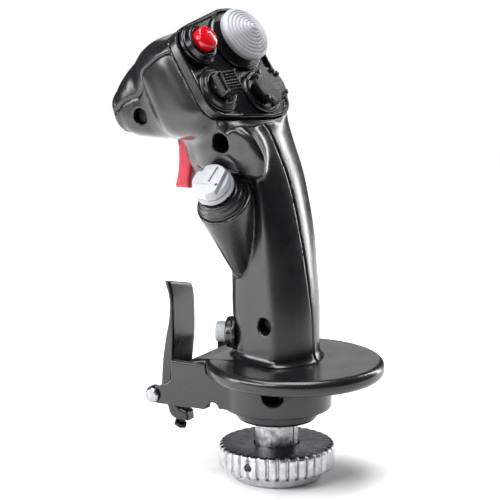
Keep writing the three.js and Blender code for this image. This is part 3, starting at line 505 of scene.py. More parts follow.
def board_material():
    material, tree, shader = principled("circuit_board", (0.01, 0.1, 0.04), 0.4)
    place = node(tree, "ShaderNodeTexCoord")
    tracks = node(tree, "ShaderNodeTexBrick", [("Vector", place.outputs["Object"])])
    tracks.inputs["Scale"].default_value = 160
    tracks.inputs["Color1"].default_value = (0.01, 0.11, 0.04, 1)
    tracks.inputs["Color2"].default_value = (0.008, 0.08, 0.03, 1)
    tracks.inputs["Mortar"].default_value = (0.03, 0.2, 0.08, 1)
    tree.links.new(tracks.outputs["Color"], shader.inputs["Base Color"])
    bump(tree, shader, noise(tree, 1500), 0.02)
    return material


MATERIALS = {  # by the CAD's material slots
    "black_paint": black_paint(),
    "black_plastic": moulded("black_plastic", (0.005, 0.005, 0.006), (0.009, 0.009, 0.01), (0.2, 0.3)),
    "pale_plastic": moulded("pale_plastic", (0.31, 0.325, 0.35), (0.35, 0.36, 0.385), (0.36, 0.5)),
    "red_gloss": moulded("red_gloss", (0.44, 0.002, 0.008), (0.52, 0.003, 0.01), (0.1, 0.18), 0.004),
    "red_trigger": moulded("red_trigger", (0.4, 0.012, 0.032), (0.47, 0.016, 0.042), (0.36, 0.5), 0.04),
    "machined_aluminium": metal(
        "machined_aluminium", (0.38, 0.385, 0.4), (0.58, 0.585, 0.595), (0.3, 0.5), 0.05, 1300),
    "steel": metal("steel", (0.24, 0.245, 0.25), (0.36, 0.36, 0.37), (0.22, 0.38), 0.02),
    "brass_contacts": metal("brass_contacts", (0.62, 0.44, 0.16), (0.74, 0.54, 0.22), (0.2, 0.36)),
    "circuit_board": board_material(),
    "black_rubber": moulded(
        "black_rubber", (0.006, 0.006, 0.007), (0.01, 0.01, 0.011), (0.22, 0.34), 0.03, 1100),
}
GUNMETAL = metal("gunmetal", (0.035, 0.035, 0.038), (0.06, 0.06, 0.065), (0.2, 0.32), 0.01, 900)
DARK_STEEL = metal("black_steel", (0.012, 0.012, 0.013), (0.03, 0.03, 0.032), (0.3, 0.45), 0.02, 900)
# a darker, slightly bluish metal than the nut's knurled side, given to the nut's top face
DARK_NUT_TOP = metal("nut_face", (0.07, 0.075, 0.085), (0.1, 0.105, 0.118), (0.3, 0.44), 0.02, 700)
ROUGH_SPIGOT = metal("spigot_surface", (0.2, 0.2, 0.21), (0.5, 0.51, 0.52), (0.22, 0.5), 0.22, 1500)


def finish(piece, slot, body="grip", stands_for=None, angle=35, material=None):
    """Gives a new piece its material and shading, its body, and the CAD node it stands for."""
    piece.data.materials.clear()
    piece.data.materials.append(material or MATERIALS[slot])
    piece.data.polygons.foreach_set("material_index", [0] * len(piece.data.polygons))
    smooth_shading(piece, angle)
    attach(piece, body)
    if stands_for:
        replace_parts(piece, stands_for)
    return piece


# ---- the grip's casting ----

# Level slices of the column: height, where the back is, the back's radius left and right of the
# seam, half the width, the front corners' place across and forward, and the front.
COLUMN = Track([
    (49, -18.1, 20.1, 21.2, 17.5, 12, 13.4, 19.2),
    (53.5, -17.9, 20.2, 21.6, 17.5, 12, 13.5, 19.3),
    (75, -16.7, 20.5, 29, 17.6, 12, 14.4, 19.8),
    (92, -14.4, 22.5, 35, 17.9, 12.3, 15, 20.4),
    (106, -12, 27, 44, 18.1, 13, 18, 24),
    (119, -9.3, 33, 46, 18.3, 13.5, 26, 33),
    (131, -6.2, 40, 47, 18.5, 13.5, 31, 39),
    (143, -1.4, 43, 50, 19, 13, 33, 41.5),
    (155, 4.2, 45, 66, 19.5, 12, 33, 42),
    (165, 9.4, 45, 66, 19.5, 12, 33, 42),
])


def column(p):
    x, y, z = p.T
    back, left_round, right_round, half, corner_x, corner_y, front = COLUMN(z)
    round_back = np.where(x < 0, left_round, right_round)
    behind = np.hypot(x, y - back - round_back) - round_back
    meet = back + round_back * (1 - np.cos(np.arcsin(half / round_back)))
    run_x, run_y = corner_x - half, corner_y - meet
    length = np.hypot(run_x, run_y)
    beside = ((np.abs(x) - half) * run_y - (y - meet) * run_x) / length
    bulge = front - corner_y
    lean = 2 * bulge * x / corner_x ** 2
    before = (y - front + bulge * (x / corner_x) ** 2) / np.sqrt(1 + lean ** 2)
    section = smooth_max(smooth_max(behind, beside, 1.8), before, 4)
    flare = 1.7 * np.clip((56.8 - z) / 3.3, 0, 1.1) ** 2.5
    return smooth_max(section - flare, z - 162, 3)


# Slices of the head by their distance from the panel: centre, how far the slice looks up and to
# the pilot's left in degrees, its reach to the left, right, up and down, how square it is, and how
# much shorter it is on the left upwards and downwards.
HEAD = Track([
    (0, -5.83, 22.7, 175.23, 35, 8.5, 26, 26, 26, 26.4, 0.32, 0.29, 0.18),
    (3.4, -5.5, 25.5, 173.2, 34, 8, 26.4, 26, 25.4, 27, 0.34, 0.26, 0.15),
    (17.4, -4.6, 38, 167, 29, 5, 24.2, 23, 25, 22.8, 0.46, 0.12, 0),
    (24, -4.1, 44.1, 164.5, 27.5, 3.5, 22.4, 21.3, 22.8, 20.7, 0.5, 0.06, 0),
    (30.3, -3.6, 50, 162.2, 26, 2, 18, 19, 20.6, 19, 0.55, 0, 0),
    (35.5, -3.2, 55, 160.4, 24, 1, 16, 18, 18.3, 17.4, 0.58, 0, 0),
    (41.4, -2.8, 60.5, 158.6, 22, 0, 15.7, 17, 15.8, 15.6, 0.62, 0, 0),
    (49.8, -2.4, 68.5, 156, 18, 0, 13.8, 14.5, 10.6, 12, 0.7, 0, 0),
    (55, -2.4, 73.5, 154.6, 16, 0, 9.8, 10.5, 5.4, 7.8, 0.8, 0, 0),
    (57.4, -2.4, 75.6, 154.1, 16, 0, 1.5, 1.5, 1, 1, 1, 0, 0),
])
HEAD_END = 57.4


def head_place(p):
    """Each point's station along the head, its place across and up in that slice, and the slice."""
    station = np.clip((p[:, 1] - 22.7) * 1.06, 0, HEAD_END)
    for _ in range(5):
        row = HEAD(station)
        rise, cant = np.radians(row[3]), np.radians(row[4])
        away = p - np.stack(row[:3], axis=1)
        out = np.stack([-np.sin(cant) * np.cos(rise), -np.cos(cant) * np.cos(rise), np.sin(rise)], axis=1)
        past = -(away * out).sum(axis=1)
        station = np.clip(station + past, 0, HEAD_END)
    across = np.stack([np.cos(cant), -np.sin(cant), 0 * cant], axis=1)
    along = np.cross(out, across)
    return past, (away * across).sum(axis=1), (away * along).sum(axis=1), row


def rounded_square(x, y, row):
    """Roughly the distance outside a slice's outline."""
    left, right, up, down, square, fall, lift = row[5:]
    width = np.where(x < 0, left, right)
    to_left = np.clip((0.4 - x / right) / 1.4, 0, 1)
    height = np.where(y < 0, down * (1 - to_left * lift), up * (1 - to_left * fall))
    power = 2 / square
    size = (np.abs(x / width) ** power + np.abs(y / height) ** power) ** (1 / power)
    radius = np.hypot(x, y)
    return radius * (1 - 1 / np.maximum(size, 1e-3))


def head(p):
    past, x, y, row = head_place(p)
    ends = np.abs(past) - 0.4
    return smooth_max(rounded_square(x, y, row), ends, 0.6)


# The thumb shelf: height, where its back edge is and how far it stands out to the left.
SHELF = Track([
    (130, -8.4, 25), (134.3, -9, 26), (138, -9.8, 26.8), (143, -10.3, 27.8), (149, -8, 28.6),
    (154, -3.7, 29.2), (157.4, 3.2, 29.4), (160, 13, 29.5), (166, 30, 29.5), (172, 42, 29.5),
])
SHELF_SWEEP = 0.6  # how far the shelf's back face goes forward for each millimetre inwards


def shelf(p):
    x, y, z = p.T
    back, out = SHELF(z)
    slope = SHELF(z + 0.5)[0] - SHELF(z - 0.5)[0]
    behind = (back + SHELF_SWEEP * (x + out) - y) / np.sqrt(1 + SHELF_SWEEP ** 2 + slope ** 2)
    corner = smooth_max(-x - out, behind, 5)
    front = (x + out - 1) * -0.72 + (y - 20) * 0.69
    body = smooth_max(corner, front, 9)
    body = smooth_max(body, 134.2 - z, 3)
    body = smooth_max(body, z - 170, 3)
    hat_room = cylinder(local(p, SIDE), 12.2, 5, 60)
    return smooth_max(carved(body, hat_room, 2), x - 4, 1)


POD_CENTRES = [(-26.3, 11.7, 126.8), (-10.4, 10.35, 93.5)]
POD_RADII = [13, 5.6]


def pod(p):
    mouth = local(p, SIDE)
    rod = ball_chain(p, POD_CENTRES, POD_RADII)
    return smooth_max(rod, mouth[:, 2], 0.9)


SHELL_SCREWS = [
    # place forward and up, the hole's radius and inner end, the boss's radius and two ends
    (56.3, 154.4, 3.4, -12.4, 4.8, -21, 13.5),
    (11.4, 148.3, 4.2, -12, 5.6, -25, 17.5),
    (-3, 69.9, 3.6, -8.4, 4.8, -15.4, 16.4),
]


def casting_outside(p):
    body = smooth_min(column(p), head(p), 7)
    body = smooth_min(body, shelf(p), 3.2)
    return smooth_min(body, pod(p), 0.9)


def panel_outline(x, y):
    return rounded_square(x, y, [np.full(x.shape, value) for value in HEAD.values[0]])


WELLS_UNDER_PANEL = [
    (TRIM_AT, 8.6, 18.1), (RIBBED_AT, 7.6, 15.5), (CASTLE_AT, 7.6, 15.5), (RED_AT, 6.6, 16.5),
]


def casting(p):
    """The grip's whole casting, before it is parted at the seam."""
    face = local(p, PANEL)
    outline = panel_outline(face[:, 0], face[:, 1])
    above_panel = np.minimum(face[:, 2], face[:, 1] + PANEL_FOOT)
    outside = smooth_max(casting_outside(p), above_panel, 2.5)
    hollow = np.maximum(casting_outside(p), np.minimum(above_panel, outline)) + WALL
    for y, z, _, _, boss, start, end in SHELL_SCREWS:
        hollow = smooth_max(hollow, -cylinder_x(p, boss, start, end, y, z), 0.8)
    body = smooth_max(outside, -hollow, 0.2)
    seat = np.maximum(-(face[:, 2] + PANEL_THICK + GAP), outline - GAP)
    body = carved(body, seat, 0.25)
    body = np.maximum(body, 51 - p[:, 2])
    body = carved(body, cylinder(local(p, SIDE), 8.8, -17, 9), 0.5)
    button = local(p, BUTTON)
    body = carved(body, cylinder(button, 8.2, 0, 12), 0.4)
    body = carved(body, cylinder(button, 5.4, -14, 1), 0.3)
    body = carved(body, block(p, (-6.5, 32.9, 117), (6.5, 49.9, 151), 0.6), 0.8)
    for place, radius, depth in WELLS_UNDER_PANEL:
        shifted = face - np.array([place[0], place[1], 0])
        body = carved(body, cylinder(shifted, radius, -depth, 0), 0.3)
    for y, z, hole, deep, _, _, _ in SHELL_SCREWS:
        body = carved(body, cylinder_x(p, hole, -45, deep, y, z), 0.8)
        body = carved(body, cylinder_x(p, PIN_HOLE, deep - 1, 9, y, z), 0.2)
    return body


# The seam's place across and up, seen from behind: it leans left over the head.
SEAM = [(0, 30), (0, SEAM_BEND), (-SEAM_LEAN * (SEAM_TOP - SEAM_BEND), SEAM_TOP)]


def seam_side(name, side):
    """The room on one side of the seam, above the hand rest."""
    edge = [(x + side * GAP / 2, max(z, SHELL_BOTTOM)) for x, z in SEAM]
    far = side * 80
    outline = [*edge, (far, SEAM_TOP), (far, SHELL_BOTTOM)]
    turn = Matrix.Translation((0, SEAM_Y * MM, 0)) @ Matrix.Rotation(SEAM_TURN, 4, "Z")
    bm = bmesh.new()
    ends = [[bm.verts.new(turn @ Vector((x * MM, y, z * MM))) for x, z in outline] for y in (-0.1, 0.2)]
    bm.faces.new(ends[0])
    bm.faces.new(reversed(ends[1]))
    for i in range(len(outline)):
        j = (i + 1) % len(outline)
        bm.faces.new([ends[0][j], ends[0][i], ends[1][i], ends[1][j]])
    bmesh.ops.recalc_face_normals(bm, faces=bm.faces)
    mesh = bpy.data.meshes.new(name)
    bm.to_mesh(mesh)
    bm.free()
    return link(name, mesh)


def from_seam(p, side):
    """How far each point is from one half's seam face."""
    turn = Matrix.Translation((0, SEAM_Y, 0)) @ Matrix.Rotation(SEAM_TURN, 4, "Z")
    place = local(p, turn)
    x, z = place[:, 0] - side * GAP / 2, p[:, 2]
    leaning = (x + SEAM_LEAN * (z - SEAM_BEND)) / math.hypot(1, SEAM_LEAN)
    return np.where(z < SEAM_BEND, x, leaning) * side


def ease_seam(mesh, side):
    """Turns the seam's outer edge in a little, so that the two halves meet in a fine groove."""
    count = len(mesh.vertices)
    points = np.empty(count * 3)
    mesh.vertices.foreach_get("co", points)
    points = points.reshape(-1, 3) / MM
    away = np.abs(from_seam(points, side))
    near = (away < SEAM_EASE).nonzero()[0]
    near = near[casting_outside(points[near]) > -0.4]
    at = points[near]
    slope = np.stack([
        casting_outside(at + step) - casting_outside(at - step) for step in np.eye(3) * 0.2], axis=1)
    slope /= np.linalg.norm(slope, axis=1)[:, None]
    points[near] -= slope * (0.75 * (SEAM_EASE - away[near]))[:, None]
    mesh.vertices.foreach_set("co", (points * MM).ravel())
    mesh.update()


def cut(piece, tool, operation):
    """Leaves the piece's mesh as the two closed solids give it, and takes the cutting one away."""
    change = piece.modifiers.new("cut", "BOOLEAN")
    change.operation = operation
    change.solver = "MANIFOLD"
    change.object = tool
    shown = piece.evaluated_get(bpy.context.evaluated_depsgraph_get())
    mesh = bpy.data.meshes.new_from_object(shown)
    piece.modifiers.clear()
    piece.data = mesh
    bpy.data.objects.remove(tool)


def part_at_seam(whole, name, side):
    """One half of the casting, closed with crisp edges along the seam."""
    half = link(name, whole.data.copy())
    cut(half, seam_side(name + "_room", side), "INTERSECT")
    ease_seam(half.data, side)
    return half


def make_shells():
    whole = mesh_field("casting", casting, (-36, -22, 51), (23, 78, 199), 0.62)
    left = part_at_seam(whole, "left_shell_casting", -1)
    right = part_at_seam(whole, "right_shell_casting", 1)
    bpy.data.objects.remove(whole)
    finish(left, "black_paint", stands_for="left_grip_shell")
    finish(right, "black_paint", stands_for="right_grip_shell")


# ---- the button panel and what stands on it ----

def join(name, pieces):
    """One object from several closed bodies that touch or sink into each other."""
    bm = bmesh.new()
    for piece in pieces:
        bm.from_mesh(piece.data)
        bpy.data.objects.remove(piece)
    mesh = bpy.data.meshes.new(name)
    bm.to_mesh(mesh)
    bm.free()
    return link(name, mesh)


HOLES_IN_PANEL = [(RED_AT, 4, 9), (TRIM_AT, 5.6, 13.8), (RIBBED_AT, 5.2, 10), (CASTLE_AT, 5.2, 10)]


def panel(p):
    outline = panel_outline(p[:, 0], p[:, 1])
    body = smooth_max(outline, np.maximum(-PANEL_THICK - p[:, 2], p[:, 2] - PANEL_RIM), 0.5)
    floor = smooth_max(outline + 1.7, -p[:, 2], 0.3)
    body = carved(body, floor, 0.4)
    for (x, y), hole, bezel in HOLES_IN_PANEL:
        shifted = p - np.array([x, y, 0])
        body = carved(body, cylinder(shifted, hole, -5, 3), 0.2)
        body = carved(body, cylinder(shifted, bezel + 0.5, 0, 3), 0.3)
    return body


def make_panel():
    plate = mesh_field("panel_plate", panel, (-27, -27, -PANEL_THICK), (27, 27, PANEL_RIM), 0.32, PANEL)
    finish(plate, "black_paint", stands_for="button_panel")
    make_red_button(on_panel(RED_AT))
    make_trim_hat(on_panel(TRIM_AT))
    make_ribbed_switch(on_panel(RIBBED_AT))
    make_castle_switch(on_panel(CASTLE_AT))


def make_red_button(place):
    collar = revolve("red_switch_collar", [
        (5.7, 0.3), (9, 0.3), (9, 3.2), (7.9, 3.5), (7.4, 6.1), (6.4, 6.5), (5.7, 6.2)], place, edge=0.35)
    finish(collar, "black_plastic", stands_for="red_button_collar", material=GUNMETAL)
    button = revolve("red_push_button", [
        (0, -5), (1.5, -5), (1.5, 2.4), (5.2, 2.4), (5.2, 8.9), (4.6, 9.9), (2.4, 10.3), (0, 10.4),
    ], place, edge=0.5)
    finish(button, "red_gloss", "red_push", "red_button")


def hat_stem(name, place):
    return revolve(
        name, [(0, -7.8), (STEM_RADIUS, -7.8), (STEM_RADIUS, 3), (0, 3)], place, sides=32)


def make_trim_hat(place):
    bezel = revolve("trim_hat_bezel", [
        (7.2, 0.3), (13.8, 0.3), (13.8, 1.1), (13.1, 1.8), (7.2, 1.8)], place, edge=0.25, sides=128)
    finish(bezel, "black_plastic", stands_for="trim_bezel")
    cone = [(0, 2.2), (3.2, 2.2), (8.8, 5), (12, 5), (12.1, 6.9), (11.7, 7.6)]
    for k in range(8):
        radius, height = 11.2 - k * 1.36, 7.9 + k * 0.74 - 0.004 * k ** 2
        cone += [(radius, height + 0.1), (radius - 0.28, height + 0.62), (radius - 0.9, height + 0.66)]
        cone += [(radius - 1.1, height + 0.42)]
    cone += [(0, 13.4)]
    cap = revolve("trim_hat_cone", cone, place, sides=128, edge=0.16)
    stem = hat_stem("trim_stem", place)
    finish(join("trim_hat_cap", [cap, stem]), "pale_plastic", "trim_cap_body", "trim_hat")


def boxed(name, low, high, place, edge=0.3, slots=(), step=0.25):
    """A box with round edges, less some grooves, in a local frame."""
    def field(p):
        body = block(p, low, high, edge)
        for slot_low, slot_high in slots:
            body = carved(body, block(p, slot_low, slot_high, 0.05), 0.15)
        return body
    return mesh_field(name, field, low, high, step, place)


def make_ribbed_switch(place):
    bezel = revolve("ribbed_switch_bezel", [
        (6.9, 0.3), (10, 0.3), (10, 1.2), (9.6, 1.7), (8.9, 1.7), (8.4, 3.1), (7.8, 3.3), (6.9, 3.3),
    ], place, edge=0.25)
    finish(bezel, "black_plastic", stands_for="ribbed_bezel")
    dome = revolve("ribbed_dome", [
        (0, 1.6), (4.9, 1.6), (4.9, 3), (4.7, 4.6), (3.8, 5.6), (0, 5.9)], place, sides=64, edge=0.4)
    rows = [(i + 0.5) * 1.3 for i in range(-4, 4)]
    grooves = [((-4.1, row - 0.38, 8.6), (4.1, row + 0.38, 11)) for row in rows]
    grooves += [((-6, -4, 8.4), (-4.3, 4, 11)), ((4.3, -4, 8.4), (6, 4, 11))]
    top = boxed("ribbed_top", (-5.4, -4.9, 5.2), (5.4, 4.9, 10), place, 0.3, grooves, 0.19)
    stem = hat_stem("ribbed_stem", place)
    finish(join("ribbed_switch_cap", [dome, top, stem]), "black_plastic", "ribbed_cap_body", "ribbed_cap")


def castle_cap(p):
    """A flat round cap with four notched tabs round its top."""
    radius = np.hypot(p[:, 0], p[:, 1])
    side = radius - np.interp(p[:, 2], [1.8, 2.8, 3.7, 5.2, 7.3], [4.6, 4.8, 7.1, 8.3, 8.5])
    body = smooth_max(side, np.maximum(1.8 - p[:, 2], p[:, 2] - 7.3), 0.45)
    for i in range(4):
        at = turned_about_z(p, (i + 0.5) * math.pi / 2)
        tab = smooth_max(block(at, (7, -2.4, 6.3), (9, 2.4, 8.3), 0.2), radius - 8.5, 0.15)
        notch = block(at, (6, -0.5, 7.4), (9.4, 0.5, 9), 0.05)
        body = smooth_min(body, smooth_max(tab, -notch, 0.1), 0.1)
    return smooth_min(body, cylinder(p, STEM_RADIUS, -7.8, 3), 0.3)


def make_castle_switch(place):
    collar = revolve("castle_switch_collar", [
        (7.8, 0.3), (10, 0.3), (10, 1.1), (9.4, 1.8), (7.8, 1.8)], place, edge=0.25)
    finish(collar, "black_plastic", stands_for="castle_collar")
    low, high = (-8.7, -8.7, -7.9), (8.7, 8.7, 8.6)
    cap = mesh_field("castle_switch_cap", castle_cap, low, high, 0.2, place)
    finish(cap, "black_plastic", "castle_cap_body", "castle_cap")


# ---- the pod's hat ----

def side_cap(p):
    """A round cap with a grooved side, two lowered corners, a cut-off side, a slot and a dimple."""
    x, y, z = p.T
    radius = np.hypot(x, y)
    side = radius - np.interp(z, [3.2, 4.4, 5, 7.4, 7.9, 10.2, 14.7], [3.8, 4, 4.1, 4.6, 8.5, 8.6, 7.7])
    body = smooth_max(side, np.maximum(3.2 - z, z - 14.7), 0.5)
    groove = smooth_max(np.abs(z - 10.5) - 0.35, 7.9 - radius, 0.2)
    body = carved(body, groove, 0.25)
    lower = smooth_max(-(x + 1.3), 2.2 - y, 0.3)
    sloping = 14.2 - 0.55 * (y - 2.2) - z
    body = carved(body, smooth_max(lower, sloping, 0.1), 0.25)
    step = smooth_max(4.6 - x, y + 3.4, 0.3)
    body = carved(body, smooth_max(step, 12.9 - z, 0.1), 0.25)
    far = smooth_max(x + 5.6, 12.4 - 0.5 * (x + 5.6) - z, 0.1)
    body = carved(body, far, 0.25)
    beside_slot = np.abs(x + 0.95 - 0.12 * (y + 2.5)) - 0.42
    slot = smooth_max(beside_slot, np.abs(y + 2.6) - 3.7, 0.05)
    body = carved(body, smooth_max(slot, 13.8 - z, 0.05), 0.15)
    dimple = np.hypot(x + 4.6, y - 2) - 0.65
    body = carved(body, smooth_max(dimple, 13.6 - z, 0.05), 0.15)
    return smooth_min(body, cylinder(p, STEM_RADIUS, -5.4, 4), 0.2)


def make_side_hat():
    boot = revolve("side_hat_boot", [
        (6.8, 0.3), (11.2, 0.3), (11.1, 1.3), (10.4, 1.7), (10.1, 3.4), (9.3, 3.8), (8.9, 4.9),
        (8.2, 5.4), (6.8, 5.4),
    ], SIDE, sides=128, edge=0.3)
    finish(boot, "black_rubber", stands_for="side_boot")
    cap = mesh_field("side_hat_cap", side_cap, (-8.7, -8.7, -5.6), (8.7, 8.7, 14.8), 0.3, SIDE)
    finish(cap, "pale_plastic", "side_cap_body", "side_hat")


# ---- the trigger and the small front button ----

def curve_points(start, control, end, count=8):
    """Points along a bend with one control point, without its first."""
    return [
        tuple((1 - t) ** 2 * s + 2 * t * (1 - t) * c + t * t * e for s, c, e in zip(start, control, end))
        for t in (k / count for k in range(1, count + 1))
    ]


def trigger_outline():
    y, z = TRIGGER_PIN_Y, TRIGGER_PIN_Z
    outline = [(y - 4.4 * math.cos(a), z + 4.4 * math.sin(a)) for a in np.linspace(0, math.pi, 13)]
    outline += curve_points(outline[-1], (y + 7.2, z - 8), (y + 7.2, z - 14))
    outline += curve_points(outline[-1], (y + 6.8, z - 23), (y + 9, z - 29.4))
    outline += [(y + 8.6, z - 30.4), (y + 1.8, z - 30.2)]
    outline += curve_points(outline[-1], (y + 1, z - 20), (y - 1.6, z - 11))
    return outline


def make_trigger():
    outline = trigger_outline()

    def field(p):
        body = slab(polygon(p[:, 1], p[:, 2], outline), p[:, 0], 5.5, 1.7)
        return carved(body, cylinder_x(p, PIN_HOLE, -8, 8, TRIGGER_PIN_Y, TRIGGER_PIN_Z), 0.2)

    blade = mesh_field("trigger_blade_moulding", field, (-5.5, 33, 122), (5.5, 48, 158), 0.33)
    finish(blade, "red_trigger", "trigger_blade", "trigger")


def make_front_button():
    flange = revolve("front_button_flange", [
        (4.9, 0.3), (7.6, 0.3), (7.6, 1.8), (6.9, 2.3), (6.7, 4.1), (6.1, 5), (4.9, 5.2)], BUTTON, edge=0.3)
    finish(flange, "black_plastic", stands_for="side_button_flange")
    button = revolve("front_push_button", [
        (0, -4), (1.4, -4), (1.4, 1), (4.4, 1), (4.4, 9.2), (4, 9.6), (0, 9.6)], BUTTON, edge=0.3)
    finish(button, "pale_plastic", "side_push", "side_button")


# ---- the hand rest and what stands below it ----

BASE_SCREWS = [(x, y) for x in (-13, 13) for y in (-12, 12)]


def hand_rest(p):
    x, y, z = p.T
    disc = np.hypot(x, y - REST_CENTRE_Y) - REST_RADIUS
    tongue = smooth_max(np.abs(x) - 17.4, y - REST_FRONT, 1.5)
    tongue = smooth_max(tongue, -y, 1)
    half = (REST_TOP - REST_BOTTOM) / 2
    body = slab(disc, z - REST_BOTTOM - half, half, 2.9)
    body = smooth_min(body, slab(tongue, z - REST_BOTTOM - half, half, 0.7), 1)
    ramp = (z - REST_TOP) * 0.976 + (y - 22) * 0.22
    body = smooth_max(body, ramp, 2)
    body = carved(body, cylinder(p, 7, 40, 60), 0.3)
    for screw_x, screw_y in BASE_SCREWS:
        at = p - np.array([screw_x, screw_y, 0])
        body = carved(body, cylinder(at, PIN_HOLE, 40, 50.4), 0.2)
    return body


def arc(centre_y, centre_z, radius, start, end, count=13):
    """Points of an arc in the side view. Angles are in radians, upwards from forward."""
    angles = np.linspace(start, end, count)
    return [(centre_y + radius * math.cos(a), centre_z + radius * math.sin(a)) for a in angles]


ARM = [
    (6, 32.4), (16.4, 32.4), *arc(19.6, 31.8, 2.9, math.pi, 0),
    (24, ARM_LOW), (46.5, PIVOT_Z - 3.7), *arc(PIVOT_Y, PIVOT_Z, 4, -math.pi / 2, math.pi / 2 + 0.3),
    (42.5, 40.2), (40.4, 42), (40.4, ARM_TOP), (18, ARM_TOP), (18, DRUM_TOP), (6, DRUM_TOP),
]


SIDE_HOLE_AT = math.radians(205)  # the way that the drum's round hole looks


def housing(p):
    x, y, z = p.T
    inner = DRUM_RADIUS - FLOOR
    drum = cylinder(p, DRUM_RADIUS, DRUM_BOTTOM, DRUM_TOP, 1.6)
    middle, half = (ARM_OUTER + ARM_INNER) / 2, (ARM_OUTER - ARM_INNER) / 2
    arms = slab(polygon(y, z, ARM), np.abs(x) - middle, half, 0.5)
    body = smooth_min(drum, arms, 0.8)
    bridge = block(p, (-18, 16, ARM_LOW + 3), (18, 28, DRUM_TOP), 0.3)
    body = smooth_min(body, bridge, 0.4)
    body = carved(body, cylinder(p, inner, DRUM_BOTTOM + FLOOR, 60), 0.3)
    body = carved(body, block(p, (-15.7, 15.5, 35.8), (15.7, 24.5, 50), 0.3), 0.3)
    body = carved(body, cylinder(p, SPIGOT_RADIUS + 0.35, 20, 40), 0.2)
    body = smooth_min(body, block(p, (-18, 36.5, 31.4), (18, 39.5, DRUM_TOP), 0.3), 0.5)
    plunger = p[:, [0, 2, 1]] - np.array([0, 42, 0])
    body = carved(body, cylinder(plunger, 1.6, 30, 50), 0.1)
    for screw_x, screw_y in BASE_SCREWS:
        at = p - np.array([screw_x, screw_y, 0])
        body = smooth_min(body, cylinder(at, 3.6, DRUM_BOTTOM + 1, DRUM_TOP - 0.2), 0.4)
        body = carved(body, cylinder(at, PIN_HOLE, 20, 60), 0.1)
        body = carved(body, cylinder(at, 3.1, 20, DRUM_BOTTOM + FLOOR), 0.2)
    outwards, aside, _ = turned_about_z(p, SIDE_HOLE_AT).T
    hole = smooth_max(np.hypot(aside, z - 42.2) - 4.8, 16 - outwards, 0.1)
    body = carved(body, hole, 0.5)
    under_rest = np.maximum(hand_rest(p) - 0.3, 45 - z)
    body = carved(body, under_rest, 0.1)
    return carved(body, cylinder_x(p, PIN_HOLE, -30, 30, PIVOT_Y, PIVOT_Z), 0.3)


PADDLE_FRONT = [(53.2, 40), (52.6, 47), (51.2, 56), (49.4, 65), (49.2, 74), (51.6, 82)]
PADDLE_BACK = [(48.8, 82), (47.3, 74), (47.1, 65), (47, 56), (47.3, 47), (47.4, 38.4)]


def smooth_line(points, count=6):
    """A smooth line through the points, with some points in between."""
    track = Track([(k, y, z) for k, (y, z) in enumerate(points)], 40 * len(points))
    stations = np.linspace(0, len(points) - 1, (len(points) - 1) * count + 1)
    return list(zip(*[values.tolist() for values in track(stations)]))


PADDLE_FINGER = [  # the curved finger below the pivot, which carries the stop screw
    *[(PIVOT_Y - 3 - 2.6 * math.sin(a), 27 - 2.2 * (1 - math.cos(a))) for a in np.linspace(0.2, 1.4, 5)],
    (40.4, 24.2), (40, 20), *arc(45, 25, 5, -math.pi / 2, 1.5 - math.pi / 2, 8),
]


def paddle_outline():
    return [
        (PIVOT_Y + 4, PIVOT_Z), *smooth_line(PADDLE_FRONT), *smooth_line(PADDLE_BACK),
        (PIVOT_Y - 3.8, PIVOT_Z + 1), (PIVOT_Y - 3.4, PIVOT_Z - 4.4), *PADDLE_FINGER,
        (PIVOT_Y + 3, PIVOT_Z - 3.4),
    ]


PADDLE_HALF, PADDLE_TIP, PADDLE_TIP_SLOPE = 8.5, 82, math.radians(14)
PADDLE_BULGE = 2.2  # how far the finger plate's right edge bows out
STOP, STOP_LEAN = (-5.4, 43.2, 22.4), math.radians(24)
STOP_PLACE = Matrix.Translation(STOP) @ Matrix.Rotation(STOP_LEAN, 4, "X")


def make_paddle():
    outline = paddle_outline()

    def field(p):
        x, y, z = p.T
        widen = PADDLE_BULGE * np.clip(1 - ((z - 63) / 22) ** 2, 0, 1)
        centre = widen / 2
        narrowed = (x - centre) * PADDLE_HALF / (PADDLE_HALF + centre)
        body = slab(polygon(y, z, outline), narrowed, PADDLE_HALF, 1.1)
        body = carved(body, block(p, (-2.4, 34, 13), (10, 48, 27), 0.3), 0.4)
        tip = (z - PADDLE_TIP) * math.cos(PADDLE_TIP_SLOPE)
        tip += (x + PADDLE_HALF) * math.sin(PADDLE_TIP_SLOPE)
        body = smooth_max(body, tip, 1.1)
        body = carved(body, cylinder_x(p, PIN_HOLE, -12, 12, PIVOT_Y, PIVOT_Z), 0.2)
        return carved(body, cylinder(local(p, STOP_PLACE), PIN_HOLE, -10, 10), 0.15)

    lever = mesh_field("finger_paddle", field, (-PADDLE_HALF, 39.5, 19.5), (11, 54, 83), 0.42)
    finish(lever, "black_paint", "paddle", "paddle_lever")

    end = ARM_OUTER + GAP
    across = Matrix.Translation((0, PIVOT_Y, PIVOT_Z)) @ Matrix.Rotation(math.pi / 2, 4, "Y")
    rod = revolve("pivot_rod", [
        (0, -end - 1.7), (2.5, -end - 1.7), (3.3, -end - 1), (3.3, -end), (1.6, -end), (1.6, end + 0.8),
        (0, end + 0.8),
    ], across, sides=48, edge=0.25)
    finish(rod, "steel", stands_for="paddle_pin")
    screw = revolve("stop_screw", [(0, -6.6), (1.5, -6.6), (1.5, 8.6), (0, 8.6)], STOP_PLACE, sides=32)
    finish(screw, "steel", "paddle", "paddle_stop_screw", material=DARK_STEEL)


def knurl(radius, height, angle):
    """The nut's wide ridges with narrow grooves between them, fading out at their two ends."""
    if radius < NUT_RADIUS - 2.5 or height < NUT_LIP_TOP + 0.1:
        return radius
    share = abs(((angle * NUT_RIDGES / (2 * math.pi)) % 1) - 0.5) * 2
    depth = 1.25 * min(1, max(0, (share - 0.55) / 0.3)) ** 1.5
    return radius - depth


